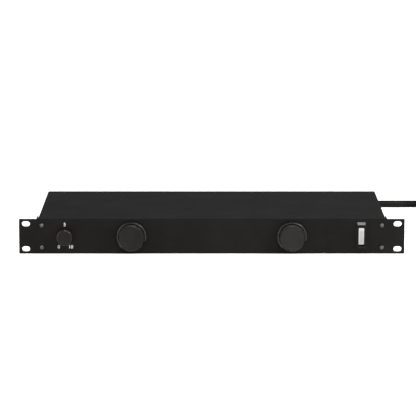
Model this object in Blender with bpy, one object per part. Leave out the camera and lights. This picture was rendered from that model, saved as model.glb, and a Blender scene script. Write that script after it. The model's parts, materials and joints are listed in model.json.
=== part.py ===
"""A rack power controller, one rack unit high, as separate solids.

The front faces -Y, +X is to the right of someone facing it, and +Z is up. The tray rests on z = 0. Each
assembly hangs on an empty, so "depth" below means the distance behind the panel's front face, and a moving
piece's empty lies on its joint's axis.
"""

import math

import bmesh
import bpy
import numpy as np
from mathutils import Matrix, Vector

# Clearances
SEAT = 0.0003
RUN = 0.0005

# How far a cutter runs past what it cuts
PAST = 0.001

# Front panel and rack slots
PANEL_WIDTH = 0.4826
PANEL_HEIGHT = 0.044
PANEL_THICKNESS = 0.003
PANEL_EDGE = 0.0004
SLOT_INSET_X = 0.00875
SLOT_INSET_Z = 0.006125
SLOT_LENGTH = 0.0102
SLOT_HEIGHT = 0.0068

# Sheet-metal chassis
EAR_REACH = 0.0232
COVER_DROP = 0.0002
COVER_BEND = 0.002
CHASSIS_DEPTH = 0.212
SHEET = 0.0012
LIP_HEIGHT = 0.013
TAB_DEPTH = 0.0235
TAB_LIFT = 0.002

# Screws: heads and shanks
SCREW_STEPS = 16
SCREW_CROWN = 0.45
SCREW_SHOULDER = 0.82
PANEL_SCREW_INSET = 0.0053
PANEL_SCREW_RISE = 0.014
PANEL_SCREW_HEAD = 0.0029
PANEL_SCREW_HEIGHT = 0.0016
PANEL_SCREW_SHANK = 0.0015
PANEL_SCREW_PAST = 0.0035
COVER_SCREW_HEAD = 0.0027
COVER_SCREW_HEIGHT = 0.0016
COVER_SCREW_SHANK = 0.0014
COVER_SCREW_RISE = 0.008
COVER_SCREW_FRONT = 0.016
COVER_SCREW_REAR_INSET = 0.017
COVER_SCREW_PAST = 0.003

# Pull-out lamps
LAMP_SHARE = 0.46034
LAMP_TRAVEL = 0.11
LAMP_TUBE_RADIUS = 0.0128
LAMP_TUBE_WALL = 0.0012
LAMP_CAP_RADIUS = 0.0158
LAMP_CAP_PROUD = 0.016
LAMP_CAP_EDGE = 0.0008
LAMP_CAP_SPIGOT = 0.0088
GRIP_RIBS = 24
GRIP_DEPTH = 0.0004
GRIP_START = 0.002
GRIP_PAST = 0.0015
GRIP_EDGE = 0.0006
BEZEL_PROUD = 0.0055
BEZEL_RIM = 0.0026
BEZEL_ROUND = 0.0013
BEZEL_FLOOR = 0.0012
SLEEVE_WALL = 0.0029
SLEEVE_PAST = 0.0075
GUIDE_WALL = 0.0014
GUIDE_COLLAR_PAST = 0.0025
GUIDE_LIP = 0.0015
GUIDE_LIP_GAP = 0.0016
GUIDE_PLAY = 0.0007
GUIDE_SPARE = 0.004
GUIDE_CHAMFER = 0.001
SHUTTLE_EDGE = 0.0006
SHUTTLE_LENGTH = 0.014
JOURNAL_RADIUS = 0.008
JOURNAL_BORE = 0.003
JOURNAL_FLANGE = 0.002
KEY_WIDTH = 0.004
KEY_LENGTH = 0.008
KEY_SET_BACK = 0.0015
WINDOW_HALF_WIDTH = 0.008
WINDOW_TAIL = 0.011
WINDOW_START = 0.0015
LENS_SET_IN = 0.0002
LENS_PAST_WALL = 0.0004
JOURNAL_FLANGE_REACH = 0.0009
TUBE_END_WALL = 0.003
LED_COUNT = 12
LED_BOARD_THICKNESS = 0.0016
LED_BOARD_DROP = 0.0032
LED_BOARD_GAP = 0.0004
LED_BOARD_TAIL = 0.004
LED_HALF_WIDTH = 0.0015
LED_HALF_LENGTH = 0.0014
LED_HEIGHT = 0.0008

# Dimmer
DIMMER_INSET = 0.0341
DIMMER_RADIUS = 0.0102
DIMMER_PROUD = 0.0115
DIMMER_ROUND = 0.0018
DIMMER_SHAFT = 0.0029
BUSHING_RADIUS = 0.0037
BUSHING_WALL = 0.0005
POT_RADIUS = 0.0085
POT_DEPTH = 0.01
DIMMER_NUT = 0.0055
DIMMER_NUT_THICKNESS = 0.0022
BUSHING_PAST_NUT = 0.0006
POT_RIM = 0.003
POT_RECESS = 0.001
POT_LUG = (0.0008, 0.0003, 0.004)
DIMMER_BACK_GAP = 0.0008
DIMMER_FACE_WALL = 0.0018

# Power switch
SWITCH_INSET = 0.03105
SWITCH_LIFT = 0.0012
ROCKER_TILT = math.radians(8)
ROCKER_HALF_WIDTH = 0.00385
ROCKER_HALF_HEIGHT = 0.0126
ROCKER_REACH = 0.0047
ROCKER_THICKNESS = 0.0033
LENS_HALF_HEIGHT = 0.0111
LENS_THICKNESS = 0.0014
LENS_PROUD = 0.0002
PIVOT_DEPTH = 0.0015
SWITCH_WALL = 0.0012
SWITCH_FLANGE = 0.00095
SWITCH_FLANGE_END = 0.00225
SWITCH_PROUD = 0.004
SWITCH_BODY_DEPTH = 0.013
ROCKER_PIN_RADIUS = 0.001
ROCKER_EDGE = 0.0008
ROCKER_SWING = 0.00085
ROCKER_LEVER = (0.006, 0.0025, 0.0012)
LENS_EDGE = 0.0005
SWITCH_FLANGE_THICKNESS = 0.0009
SWITCH_RIM = 0.0004
SWITCH_FLOOR = 0.0035
SWITCH_BLADE = (0.0024, 0.0004, 0.008)
SWITCH_BLADE_SPACING = 0.009

# Outlets and bus bars
OUTLET_COUNT = 8
OUTLET_INSET = 0.0381
OUTLET_WIDTH = 0.026
OUTLET_HEIGHT = 0.031
OUTLET_FLANGE = 0.002
OUTLET_FLANGE_THICKNESS = 0.0016
OUTLET_PAD_INSET = 0.001
OUTLET_PAD_THICKNESS = 0.0012
OUTLET_DEPTH = 0.022
OUTLET_ROUND = 0.003
BLADE_SPACING = 0.0127
BLADE_RISE = 0.0045
GROUND_DROP = 0.0074
OUTLET_EDGE = 0.001
BLADE_SLOT_HALF_WIDTH = 0.0011
LINE_SLOT_HALF = 0.0036
NEUTRAL_SLOT_HALF = 0.0045
BLADE_SLOT_DEPTH = 0.016
GROUND_HALF_WIDTH = 0.0028
GROUND_BELOW = 0.0034
GROUND_ABOVE = 0.0008
GROUND_DEPTH = 0.018
BUS_HEIGHT = 0.006
BUS_THICKNESS = 0.0012
BUS_STEP = 0.0095

# Breaker
BREAKER_TO_OUTLET = 0.044
BREAKER_HALF_WIDTH = 0.0075
BREAKER_HALF_HEIGHT = 0.016
BREAKER_DEPTH = 0.03
BREAKER_BUSHING = 0.0055
BREAKER_BUSHING_OUT = 0.006
BREAKER_NUT = 0.0075
BREAKER_NUT_THICKNESS = 0.0025
BREAKER_BUTTON = 0.0034
BREAKER_BUTTON_OUT = 0.0045
BREAKER_TRAVEL = 0.0025
BREAKER_BUTTON_EDGE = 0.0006
BREAKER_BUTTON_ROOT = 0.001
BREAKER_BUSHING_ROOT = 0.002
BREAKER_BLADE = (0.0031, 0.0004, 0.008)
BREAKER_BLADE_SPACING = 0.01

# Boards and parts inside
BOARD_WIDTH = 0.11
BOARD_LENGTH = 0.08
BOARD_FRONT = 0.06
BOARD_THICKNESS = 0.0016
BOSS_RADIUS = 0.003
BOSS_HEIGHT = 0.005
BOSS_INSET = 0.005
SUPPLY_SIZE = (0.048, 0.028, 0.02)
SUPPLY_INSET = (0.006, 0.012)
CHOKE_RING = 0.0105
CHOKE_CORE = 0.0045
CHOKE_INSET = (0.022, 0.026)
CAPACITOR_SIZE = (0.026, 0.012, 0.017)
CAPACITOR_INSET = (0.04, 0.052)
BLOCK_EDGE = 0.0008

# Cord, its coil and its plug
CORD_DIAMETER = 0.0096
RELIEF_INSET = 0.0281
RELIEF_TO_BREAKER = 0.032
RELIEF_RADIUS = 0.0077
RELIEF_FLANGE = 0.011
RELIEF_LENGTH = 0.035
RELIEF_RIBS = 5
RELIEF_ROOT = 0.0055
RELIEF_BARB = 0.0022
RELIEF_BARB_LENGTH = 0.002
RELIEF_FLANGE_THICKNESS = 0.0033
RELIEF_FLANGE_EDGE = 0.0008
RELIEF_RIB_DEPTH = 0.0012
RELIEF_TIP_WALL = 0.0016
COIL_OUTER = 0.0768
COIL_PITCH = 0.0102
COIL_TURNS_IN = 3.5
COIL_TURNS_ALL = 7.25
COIL_LOWEST = 0.0012
CORD_OFF_FLOOR = 0.0001
POINTS_A_TURN = 24
TIE_THICKNESS = 0.0008
TIE_WIDTH = 0.016
TIE_SLACK = 0.0018
TIE_OFF_FLOOR = 0.00005
TIE_TURN = 0.5 + 0.5 / POINTS_A_TURN
PLUG_BOOT = 0.040
PLUG_LENGTH = 0.034
PLUG_HALF_WIDTH = 0.013
PLUG_ROUND = 0.004
PLUG_SHOULDER = (0.003, 0.005)
PLUG_EDGE = 0.0008
PLUG_OFF_FLOOR = 0.0003
# Boot: the wall over the cord, and the share of the boot's length where it is so thick
PLUG_BOOT_WALLS = [(0.00025, 0.0), (0.0005, 0.25), (0.0019, 0.5), (0.003, 0.75), (0.004, 1.0)]
BLADE_LENGTH = 0.017
BLADE_ROOT = 0.006
BLADE_ABOVE = 0.004
BLADE_HALF_THICKNESS = 0.00075
BLADE_EDGE = 0.0003
LINE_BLADE_HALF = 0.0032
NEUTRAL_BLADE_HALF = 0.004
GROUND_PIN_RADIUS = 0.0024
GROUND_PIN_BELOW = 0.0079
GROUND_PIN_TIP = (0.001, 0.0025)

# The free cord's route from the strain relief's tip: across, back, and the share that is left of the way down
# to the floor. Below 0 it is the share of the rise to the coil's lower turns.
CORD_ROUTE = [
    (0.0000, 0.0000, 1.0),
    (0.0000, 0.0104, 0.994),
    (0.0000, 0.0224, 0.94),
    (0.0000, 0.0334, 0.801),
    (0.0002, 0.0439, 0.608),
    (0.0016, 0.0564, 0.386),
    (0.0064, 0.0681, 0.211),
    (0.0139, 0.0780, 0.096),
    (0.0238, 0.0855, 0.03),
    (0.0352, 0.0903, 0.006),
    (0.0475, 0.0919, 0.0),
    (0.0640, 0.0920, 0.0),
    (0.0820, 0.0920, 0.0),
    (0.1000, 0.0920, 0.0),
    (0.1200, 0.0920, -0.09),
    (0.1380, 0.0920, -0.45),
    (0.1540, 0.0920, -0.91),
    (0.1681, 0.0920, -1.0),
]

# Places worked out from the sizes above
FRONT_REACH = LAMP_CAP_PROUD
REAR_REACH = BREAKER_BUSHING_OUT + BREAKER_BUTTON_OUT
REAR = PANEL_THICKNESS + CHASSIS_DEPTH
FRONT_Y = (FRONT_REACH - REAR - REAR_REACH) / 2
MIDDLE = PANEL_HEIGHT / 2
WALL_FRONT = PANEL_THICKNESS + SEAT
WALL_BACK = WALL_FRONT + SHEET
COVER_TOP = PANEL_HEIGHT - COVER_DROP
WALL_TOP = COVER_TOP - SHEET - SEAT
COVER_SIDE = PANEL_WIDTH / 2 - EAR_REACH
SLOT_X = PANEL_WIDTH / 2 - SLOT_INSET_X
SLOT_Z = PANEL_HEIGHT / 2 - SLOT_INSET_Z
LAMP_X = LAMP_SHARE * COVER_SIDE
TRAY_SIDE = COVER_SIDE - SHEET - SEAT
TAB_INNER = COVER_SIDE + SEAT
TAB_OUTER = TAB_INNER + SHEET
REAR_MIDDLE = MIDDLE - RUN
SLEEVE_INNER = LAMP_TUBE_RADIUS + RUN
SLEEVE_OUTER = SLEEVE_INNER + SLEEVE_WALL
SLEEVE_END = WALL_BACK + SLEEVE_PAST
LAMP_HOLE = SLEEVE_OUTER + SEAT
CUP_RADIUS = LAMP_CAP_RADIUS + RUN
GUIDE_INNER = SLEEVE_INNER + GUIDE_PLAY
GUIDE_OUTER = GUIDE_INNER + GUIDE_WALL
GUIDE_COLLAR = (WALL_TOP - SHEET) / 2 - 2 * RUN
SHUTTLE_FRONT = SLEEVE_END + SEAT + RUN + LAMP_TRAVEL
SHUTTLE_RADIUS = GUIDE_INNER - SEAT
SHUTTLE_BACK = SHUTTLE_FRONT + SHUTTLE_LENGTH
GUIDE_END = SHUTTLE_BACK + JOURNAL_FLANGE + GUIDE_SPARE
OUTLET_FIRST = -COVER_SIDE + OUTLET_INSET
RELIEF_X = COVER_SIDE - RELIEF_INSET
BREAKER_X = RELIEF_X - RELIEF_TO_BREAKER
OUTLET_LAST = BREAKER_X - BREAKER_TO_OUTLET
OUTLET_PITCH = (OUTLET_LAST - OUTLET_FIRST) / (OUTLET_COUNT - 1)
SWITCH_X = COVER_SIDE - SWITCH_INSET
DIMMER_X = -COVER_SIDE + DIMMER_INSET
SWITCH_HALF_WIDTH = ROCKER_HALF_WIDTH + SEAT
SWITCH_HALF_HEIGHT = ROCKER_HALF_HEIGHT + ROCKER_SWING
CORD_FLOOR_Z = CORD_OFF_FLOOR + CORD_DIAMETER / 2
COIL_Z = COIL_LOWEST + CORD_DIAMETER / 2
RELIEF_TIP_Y = FRONT_Y + REAR + RELIEF_LENGTH
COIL_CENTRE_X = RELIEF_X + CORD_ROUTE[-1][0] + SEAT + CORD_DIAMETER
COIL_CENTRE_Y = RELIEF_TIP_Y + SEAT + CORD_ROUTE[-1][1] - COIL_OUTER
COIL_TOP_Z = COIL_Z + COIL_PITCH

COLOURS = {
    "panel_black": ((0.020, 0.020, 0.021), 0.0, 0.45),
    "chassis_black": ((0.028, 0.028, 0.030), 0.0, 0.5),
    "screw_black": ((0.030, 0.030, 0.030), 0.9, 0.3),
    "knob_black": ((0.022, 0.022, 0.021), 0.0, 0.35),
    "lamp_tube_black": ((0.025, 0.025, 0.027), 0.6, 0.4),
    "lens_clear": ((0.85, 0.87, 0.85), 0.0, 0.25),
    "lens_white": ((0.80, 0.79, 0.78), 0.0, 0.3),
    "switch_black": ((0.015, 0.015, 0.015), 0.0, 0.3),
    "outlet_black": ((0.018, 0.018, 0.018), 0.0, 0.4),
    "steel": ((0.55, 0.55, 0.56), 1.0, 0.3),
    "brass": ((0.78, 0.60, 0.28), 1.0, 0.3),
    "board_green": ((0.03, 0.16, 0.07), 0.0, 0.5),
    "ferrite_green": ((0.10, 0.22, 0.12), 0.0, 0.6),
    "capacitor_yellow": ((0.75, 0.60, 0.12), 0.0, 0.45),
    "button_white": ((0.75, 0.74, 0.70), 0.0, 0.35),
    "cord_black": ((0.016, 0.016, 0.016), 0.0, 0.55),
    "tie_black": ((0.02, 0.02, 0.02), 0.0, 0.9),
}


def clear_scene():
    for obj in list(bpy.data.objects):
        bpy.data.objects.remove(obj, do_unlink=True)


def material(name):
    made = bpy.data.materials.get(name)
    if made is None:
        colour, metallic, roughness = COLOURS[name]
        made = bpy.data.materials.new(name)
        made.use_nodes = True
        shader = made.node_tree.nodes["Principled BSDF"]
        shader.inputs["Base Color"].default_value = (*colour, 1.0)
        shader.inputs["Metallic"].default_value = metallic
        shader.inputs["Roughness"].default_value = roughness
        made.diffuse_color = (*colour, 1.0)
    return made


def guide_empty(name, place, parent=None, tilt=0.0):
    """An empty that carries an assembly; on a moving assembly it lies on the joint's axis."""
    empty = bpy.data.objects.new(name, None)
    empty.empty_display_size = 0.02
    empty.location = place
    empty.rotation_euler = (tilt, 0.0, 0.0)
    empty.parent = parent
    bpy.context.scene.collection.objects.link(empty)
    return empty


def link(name, bm, finish, parent, smooth=None):
    """The mesh as a named object on its parent empty, shaded smooth below the given angle in degrees."""
    mesh = bpy.data.meshes.new(name)
    bm.to_mesh(mesh)
    bm.free()
    if smooth:
        mesh.shade_smooth()
        mesh.set_sharp_from_angle(angle=math.radians(smooth))
    if finish:
        mesh.materials.append(material(finish))
    obj = bpy.data.objects.new(name, mesh)
    obj.parent = parent
    bpy.context.scene.collection.objects.link(obj)
    return obj


def boolean(obj, bm, operation="DIFFERENCE"):
    """Cut or join the tool mesh, which lies in the same frame as the object."""
    tool = link(f"{obj.name}_tool_{len(obj.modifiers)}", bm, None, obj.parent)
    tool.hide_render = True
    tool.display_type = "WIRE"
    modifier = obj.modifiers.new(operation.lower(), "BOOLEAN")
    modifier.operation = operation
    modifier.object = tool
    modifier.solver = "EXACT"


def add_box(bm, low, high):
    low, high = Vector(low), Vector(high)
    size = high - low
    place = Matrix.Translation((low + high) / 2) @ Matrix.Diagonal((*size, 1.0))
    return bmesh.ops.create_cube(bm, size=1.0, matrix=place)["verts"]


def boxes(*pairs):
    bm = bmesh.new()
    for low, high in pairs:
        add_box(bm, low, high)
    return bm


def add_cylinder(bm, x, z, radius, start, end, steps=24, along="Y"):
    """A cylinder along Y at (x, z), or along X at (y, z), from start to end."""
    if along == "Y":
        place = Matrix.Translation((x, (start + end) / 2, z)) @ Matrix.Rotation(math.pi / 2, 4, "X")
    else:
        place = Matrix.Translation(((start + end) / 2, x, z)) @ Matrix.Rotation(math.pi / 2, 4, "Y")
    bmesh.ops.create_cone(
        bm,
        cap_ends=True,
        segments=steps,
        radius1=radius,
        radius2=radius,
        depth=abs(end - start),
        matrix=place,
    )


def add_prism(bm, outline, start, end):
    """The outline of (x, z) points carried along Y from start to end."""
    verts = [bm.verts.new((x, start, z)) for x, z in outline]
    face = bm.faces.new(verts)
    moved = bmesh.ops.extrude_face_region(bm, geom=[face])["geom"]
    bmesh.ops.translate(
        bm,
        verts=[v for v in moved if isinstance(v, bmesh.types.BMVert)],
        vec=(0.0, end - start, 0.0),
    )
    bmesh.ops.recalc_face_normals(bm, faces=bm.faces)


def turned(profile, steps, closed=True):
    """A solid turned about Y from (radius, depth) points; an open profile starts and ends on the axis."""
    bm = bmesh.new()
    verts = [bm.verts.new((radius, depth, 0.0)) for radius, depth in profile]
    pairs = list(zip(verts, verts[1:]))
    if closed:
        pairs.append((verts[-1], verts[0]))
    edges = [bm.edges.new(pair) for pair in pairs]
    bmesh.ops.spin(
        bm,
        geom=verts + edges,
        cent=(0.0, 0.0, 0.0),
        axis=(0.0, 1.0, 0.0),
        angle=2 * math.pi,
        steps=steps,
        use_merge=True,
    )
    bmesh.ops.remove_doubles(bm, verts=bm.verts, dist=1e-6)
    bmesh.ops.recalc_face_normals(bm, faces=bm.faces)
    return bm


def lofted(rings):
    """A solid through rings of points, each with as many points, capped at both ends."""
    bm = bmesh.new()
    rows = [[bm.verts.new(point) for point in ring] for ring in rings]
    for near, far in zip(rows, rows[1:]):
        for i, vert in enumerate(near):
            after = (i + 1) % len(near)
            bm.faces.new((vert, near[after], far[after], far[i]))
    bm.faces.new(rows[0][::-1])
    bm.faces.new(rows[-1])
    bmesh.ops.recalc_face_normals(bm, faces=bm.faces)
    return bm


def arc(centre, radius, start, end, steps):
    """Points of an arc given in degrees, as (first, second) coordinates."""
    angles = [math.radians(start + (end - start) * i / steps) for i in range(steps + 1)]
    return [(centre[0] + radius * math.cos(a), centre[1] + radius * math.sin(a)) for a in angles]


def rounded(half_x, half_z, radius, steps=2):
    """A rectangle's outline with round corners."""
    points = []
    for k, (sx, sz) in enumerate([(1, 1), (-1, 1), (-1, -1), (1, -1)]):
        centre = (sx * (half_x - radius), sz * (half_z - radius))
        points += arc(centre, radius, 90 * k, 90 * k + 90, steps)
    return points


def ring_at(outline, depth, x=0.0, z=0.0):
    return [(x + px, depth, z + pz) for px, pz in outline]


def obround(length, height, x, z, steps=8):
    radius, reach = height / 2, (length - height) / 2
    return arc((x + reach, z), radius, -90, 90, steps) + arc((x - reach, z), radius, 90, 270, steps)


def hexagon(radius):
    return arc((0.0, 0.0), radius, 30, 330, 5)


def smooth_line(points, parts):
    """A Catmull-Rom curve through the points, with as many parts between each pair."""
    p = np.array(points, float)
    p = np.vstack([2 * p[0] - p[1], p, 2 * p[-1] - p[-2]])
    line = []
    for a, b, c, d in zip(p, p[1:], p[2:], p[3:]):
        square, cube = 2 * a - 5 * b + 4 * c - d, 3 * b - a - 3 * c + d
        for t in np.arange(parts) / parts:
            line.append(0.5 * (2 * b + (c - a) * t + square * t**2 + cube * t**3))
    line.append(p[-2])
    return np.array(line)


def evenly(line, step):
    """The line's points again, a step apart."""
    along = np.concatenate([[0.0], np.cumsum(np.linalg.norm(np.diff(line, axis=0), axis=1))])
    wanted = np.linspace(0.0, along[-1], max(2, round(along[-1] / step) + 1))
    return np.stack([np.interp(wanted, along, line[:, k]) for k in range(3)], axis=1)


def tube(name, points, radius, resolution, finish):
    curve = bpy.data.curves.new(name, "CURVE")
    curve.dimensions = "3D"
    curve.bevel_depth = radius
    curve.bevel_resolution = resolution
    curve.use_fill_caps = True
    spline = curve.splines.new("POLY")
    spline.points.add(len(points) - 1)
    for place, point in zip(spline.points, points):
        place.co = (*point, 1.0)
    curve.materials.append(material(finish))
    obj = bpy.data.objects.new(name, curve)
    bpy.context.scene.collection.objects.link(obj)
    return obj


def front_panel(base):
    half = PANEL_WIDTH / 2
    bm = boxes(((-half, 0.0, 0.0), (half, PANEL_THICKNESS, PANEL_HEIGHT)))
    bmesh.ops.bevel(bm, geom=list(bm.edges), offset=PANEL_EDGE, segments=1, affect="EDGES")
    for side in (-1, 1):
        bmesh.ops.bisect_plane(
            bm,
            geom=[*bm.verts, *bm.edges, *bm.faces],
            plane_co=(side * (TAB_OUTER + SEAT), 0.0, 0.0),
            plane_no=(1.0, 0.0, 0.0),
        )
    panel = link("front_panel", bm, "panel_black", base)
    cuts = bmesh.new()
    front, back = -PAST, PANEL_THICKNESS + PAST
    for sx in (-1, 1):
        for sz in (-1, 1):
            outline = obround(
                SLOT_LENGTH, SLOT_HEIGHT, sx * SLOT_X, MIDDLE + sz * SLOT_Z
            )
            add_prism(cuts, outline, front, back)
    panel_openings(cuts, front, back)
    boolean(panel, cuts)


def panel_openings(cuts, front, back):
    """The holes that the panel and the tray's front wall share."""
    for side in (-1, 1):
        add_cylinder(cuts, side * LAMP_X, MIDDLE, LAMP_HOLE, front, back, 40)
        for rise in (-PANEL_SCREW_RISE, PANEL_SCREW_RISE):
            x = side * (COVER_SIDE - PANEL_SCREW_INSET)
            add_cylinder(cuts, x, MIDDLE + rise, PANEL_SCREW_SHANK + SEAT, front, back, 16)
    add_cylinder(cuts, DIMMER_X, MIDDLE, BUSHING_RADIUS + SEAT, front, back, 20)
    half_x = SWITCH_HALF_WIDTH + SWITCH_WALL + SEAT
    half_z = SWITCH_HALF_HEIGHT + SWITCH_WALL + SEAT
    z = MIDDLE + SWITCH_LIFT
    add_box(cuts, (SWITCH_X - half_x, front, z - half_z), (SWITCH_X + half_x, back, z + half_z))


def boss_places():
    """Where the filter board stands on its four bosses."""
    half = BOARD_WIDTH / 2 - BOSS_INSET
    return [(x, BOARD_FRONT + y) for x in (-half, half) for y in (BOSS_INSET, BOARD_LENGTH - BOSS_INSET)]


def base_tray(base):
    bm = boxes(((-TRAY_SIDE, WALL_FRONT, 0.0), (TRAY_SIDE, REAR, SHEET)))
    tray = link("base_tray", bm, "chassis_black", base)
    walls = boxes(
        ((-TAB_OUTER, WALL_FRONT, 0.0), (TAB_OUTER, WALL_BACK, WALL_TOP)),
        ((-TRAY_SIDE, REAR - SHEET, 0.0), (TRAY_SIDE, REAR, WALL_TOP)),
    )
    boolean(tray, walls, "UNION")
    sides = bmesh.new()
    for side in (-1, 1):
        for near, far, low, high, start, end in (
            (TRAY_SIDE - SHEET, TRAY_SIDE, 0.0, LIP_HEIGHT, WALL_FRONT, REAR),
            (TAB_INNER, TAB_OUTER, TAB_LIFT, COVER_TOP, WALL_FRONT, PANEL_THICKNESS + TAB_DEPTH),
        ):
            x = sorted((side * near, side * far))
            add_box(sides, (x[0], start, low), (x[1], end, high))
    for x, y in boss_places():
        place = Matrix.Translation((x, y, (SHEET + BOSS_HEIGHT) / 2))
        bmesh.ops.create_cone(
            sides,
            cap_ends=True,
            segments=16,
            radius1=BOSS_RADIUS,
            radius2=BOSS_RADIUS,
            depth=SHEET + BOSS_HEIGHT,
            matrix=place,
        )
    boolean(tray, sides, "UNION")
    cuts = bmesh.new()
    panel_openings(cuts, WALL_FRONT - PAST, WALL_BACK + PAST)
    front, back = REAR - SHEET - PAST, REAR + PAST
    half_x, half_z = OUTLET_WIDTH / 2 + SEAT, OUTLET_HEIGHT / 2 + SEAT
    for i in range(OUTLET_COUNT):
        x = OUTLET_FIRST + OUTLET_PITCH * i
        add_box(cuts, (x - half_x, front, REAR_MIDDLE - half_z), (x + half_x, back, REAR_MIDDLE + half_z))
    add_cylinder(cuts, BREAKER_X, REAR_MIDDLE, BREAKER_BUSHING + SEAT, front, back, 24)
    add_cylinder(cuts, RELIEF_X, REAR_MIDDLE, RELIEF_RADIUS + SEAT, front, back, 24)
    cover_screw_holes(cuts)
    boolean(tray, cuts)


def cover_screw_places():
    """Each cover screw's depth, and the half width of the face that its head lies on."""
    return ((COVER_SCREW_FRONT, TAB_OUTER), (REAR - COVER_SCREW_REAR_INSET, COVER_SIDE))


def cover_screw_holes(cuts):
    for side in (-1, 1):
        for depth, face in cover_screw_places():
            near, far = side * (TRAY_SIDE - SHEET - PAST), side * (face + PAST)
            add_cylinder(
                cuts, depth, COVER_SCREW_RISE, COVER_SCREW_SHANK + SEAT, near, far, 16, along="X"
            )


def top_cover(base):
    inner_bend = COVER_BEND - SHEET
    corner = COVER_SIDE - COVER_BEND, COVER_TOP - COVER_BEND
    outer = [(COVER_SIDE, SEAT)] + arc(corner, COVER_BEND, 0, 90, 4)
    inner = [(COVER_SIDE - SHEET, SEAT)] + arc(corner, inner_bend, 0, 90, 4)
    outline = outer + [(-x, z) for x, z in reversed(outer)]
    outline += [(-x, z) for x, z in inner] + inner[::-1]
    bm = bmesh.new()
    add_prism(bm, outline, WALL_FRONT, REAR)
    cover = link("top_cover", bm, "chassis_black", base, smooth=30)
    cuts = boxes(
        ((-PANEL_WIDTH, -PAST, -PAST), (PANEL_WIDTH, WALL_BACK + SEAT, WALL_TOP + SEAT / 2)),
    )
    cover_screw_holes(cuts)
    boolean(cover, cuts)


def screw(name, base, head, height, shank, length, place, turn, socket):
    """A button-head screw: its head's seat at the place, its shank into the part."""
    profile = [(0.0, -height), (head * SCREW_CROWN, -height)]
    profile += [(head * SCREW_SHOULDER, -height * 0.72), (head, -height * 0.2), (head, 0.0)]
    profile += [(shank, 0.0), (shank, length), (0.0, length)]
    obj = link(name, turned(profile, SCREW_STEPS, closed=False), "screw_black", base, smooth=40)
    obj.location = place
    obj.rotation_euler = (0.0, 0.0, turn)
    tool = bmesh.new()
    add_prism(tool, hexagon(socket), -height - PAST, -height * 0.25)
    seat = Matrix.Translation(place) @ Matrix.Rotation(turn, 4, "Z")
    bmesh.ops.transform(tool, matrix=seat, verts=tool.verts)
    boolean(obj, tool)


def screws(base):
    number = 0
    for side in (-1, 1):
        for rise in (PANEL_SCREW_RISE, -PANEL_SCREW_RISE):
            number += 1
            place = (side * (COVER_SIDE - PANEL_SCREW_INSET), -SEAT, MIDDLE + rise)
            screw(
                f"panel_screw_{number}", base, PANEL_SCREW_HEAD, PANEL_SCREW_HEIGHT, PANEL_SCREW_SHANK,
                WALL_BACK + PANEL_SCREW_PAST, place, 0.0, PANEL_SCREW_SHANK * 0.77,
            )
    number = 0
    for side in (-1, 1):
        for depth, face in cover_screw_places():
            number += 1
            length = face - TRAY_SIDE + SHEET + SEAT + COVER_SCREW_PAST
            screw(
                f"cover_screw_{number}", base, COVER_SCREW_HEAD, COVER_SCREW_HEIGHT, COVER_SCREW_SHANK,
                length, (side * (face + SEAT), depth, COVER_SCREW_RISE), side * math.pi / 2,
                COVER_SCREW_SHANK * 0.77,
            )


def lamp_bezel(name, axis):
    """The fixed ring round the lamp's cap, with the sleeve that goes through the panel."""
    rim = CUP_RADIUS + BEZEL_RIM
    floor = -SEAT - BEZEL_FLOOR
    profile = [(SLEEVE_INNER, SLEEVE_END), (SLEEVE_INNER, floor), (CUP_RADIUS, floor)]
    profile += [(CUP_RADIUS, -BEZEL_PROUD + BEZEL_ROUND / 2)]
    profile += [(CUP_RADIUS + BEZEL_ROUND / 2, -BEZEL_PROUD)]
    profile += arc((rim - BEZEL_ROUND, -BEZEL_PROUD + BEZEL_ROUND), BEZEL_ROUND, -90, 0, 3)
    profile += [(rim, -SEAT), (SLEEVE_OUTER, -SEAT), (SLEEVE_OUTER, SLEEVE_END)]
    link(name, turned(profile, 36), "knob_black", axis, smooth=35)


def lamp_guide(name, axis):
    """The tube that the lamp slides in: its collar screws onto the bezel's sleeve and clamps the panel."""
    start, collar_end = WALL_BACK + SEAT, SLEEVE_END + SEAT + GUIDE_COLLAR_PAST
    lip = JOURNAL_RADIUS + GUIDE_LIP_GAP
    profile = [
        (SLEEVE_OUTER + SEAT, start),
        (GUIDE_COLLAR, start),
        (GUIDE_COLLAR, collar_end - GUIDE_CHAMFER),
        (GUIDE_COLLAR - GUIDE_CHAMFER, collar_end),
        (GUIDE_OUTER, collar_end),
        (GUIDE_OUTER, GUIDE_END),
        (lip, GUIDE_END),
        (lip, GUIDE_END - GUIDE_LIP),
        (GUIDE_INNER, GUIDE_END - GUIDE_LIP),
        (GUIDE_INNER, SLEEVE_END + SEAT),
        (SLEEVE_OUTER + SEAT, SLEEVE_END + SEAT),
    ]
    guide = link(name, turned(profile, 28), "lamp_tube_black", axis, smooth=35)
    half = KEY_WIDTH / 2 + SEAT
    first = key_start() - LAMP_TRAVEL - RUN
    last = key_start() + KEY_LENGTH + RUN
    slot = boxes(((-half, first, -GUIDE_OUTER - PAST), (half, last, -GUIDE_INNER + PAST)))
    boolean(guide, slot)


def key_start():
    return SHUTTLE_FRONT + (SHUTTLE_LENGTH - KEY_LENGTH) / 2 + KEY_SET_BACK


def lamp_shuttle(name, axis):
    """The carrier that slides in the guide and keeps from turning by its key."""
    edge = SHUTTLE_EDGE
    bore = JOURNAL_RADIUS + SEAT
    profile = [
        (bore, SHUTTLE_FRONT),
        (SHUTTLE_RADIUS - edge, SHUTTLE_FRONT),
        (SHUTTLE_RADIUS, SHUTTLE_FRONT + edge),
        (SHUTTLE_RADIUS, SHUTTLE_BACK - edge),
        (SHUTTLE_RADIUS - edge, SHUTTLE_BACK),
        (bore, SHUTTLE_BACK),
    ]
    shuttle = link(name, turned(profile, 28), "switch_black", axis, smooth=35)
    start = key_start()
    low = (-KEY_WIDTH / 2, start, -GUIDE_OUTER + SEAT)
    key = boxes((low, (KEY_WIDTH / 2, start + KEY_LENGTH, -(bore + SHUTTLE_RADIUS) / 2)))
    boolean(shuttle, key, "UNION")


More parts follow.
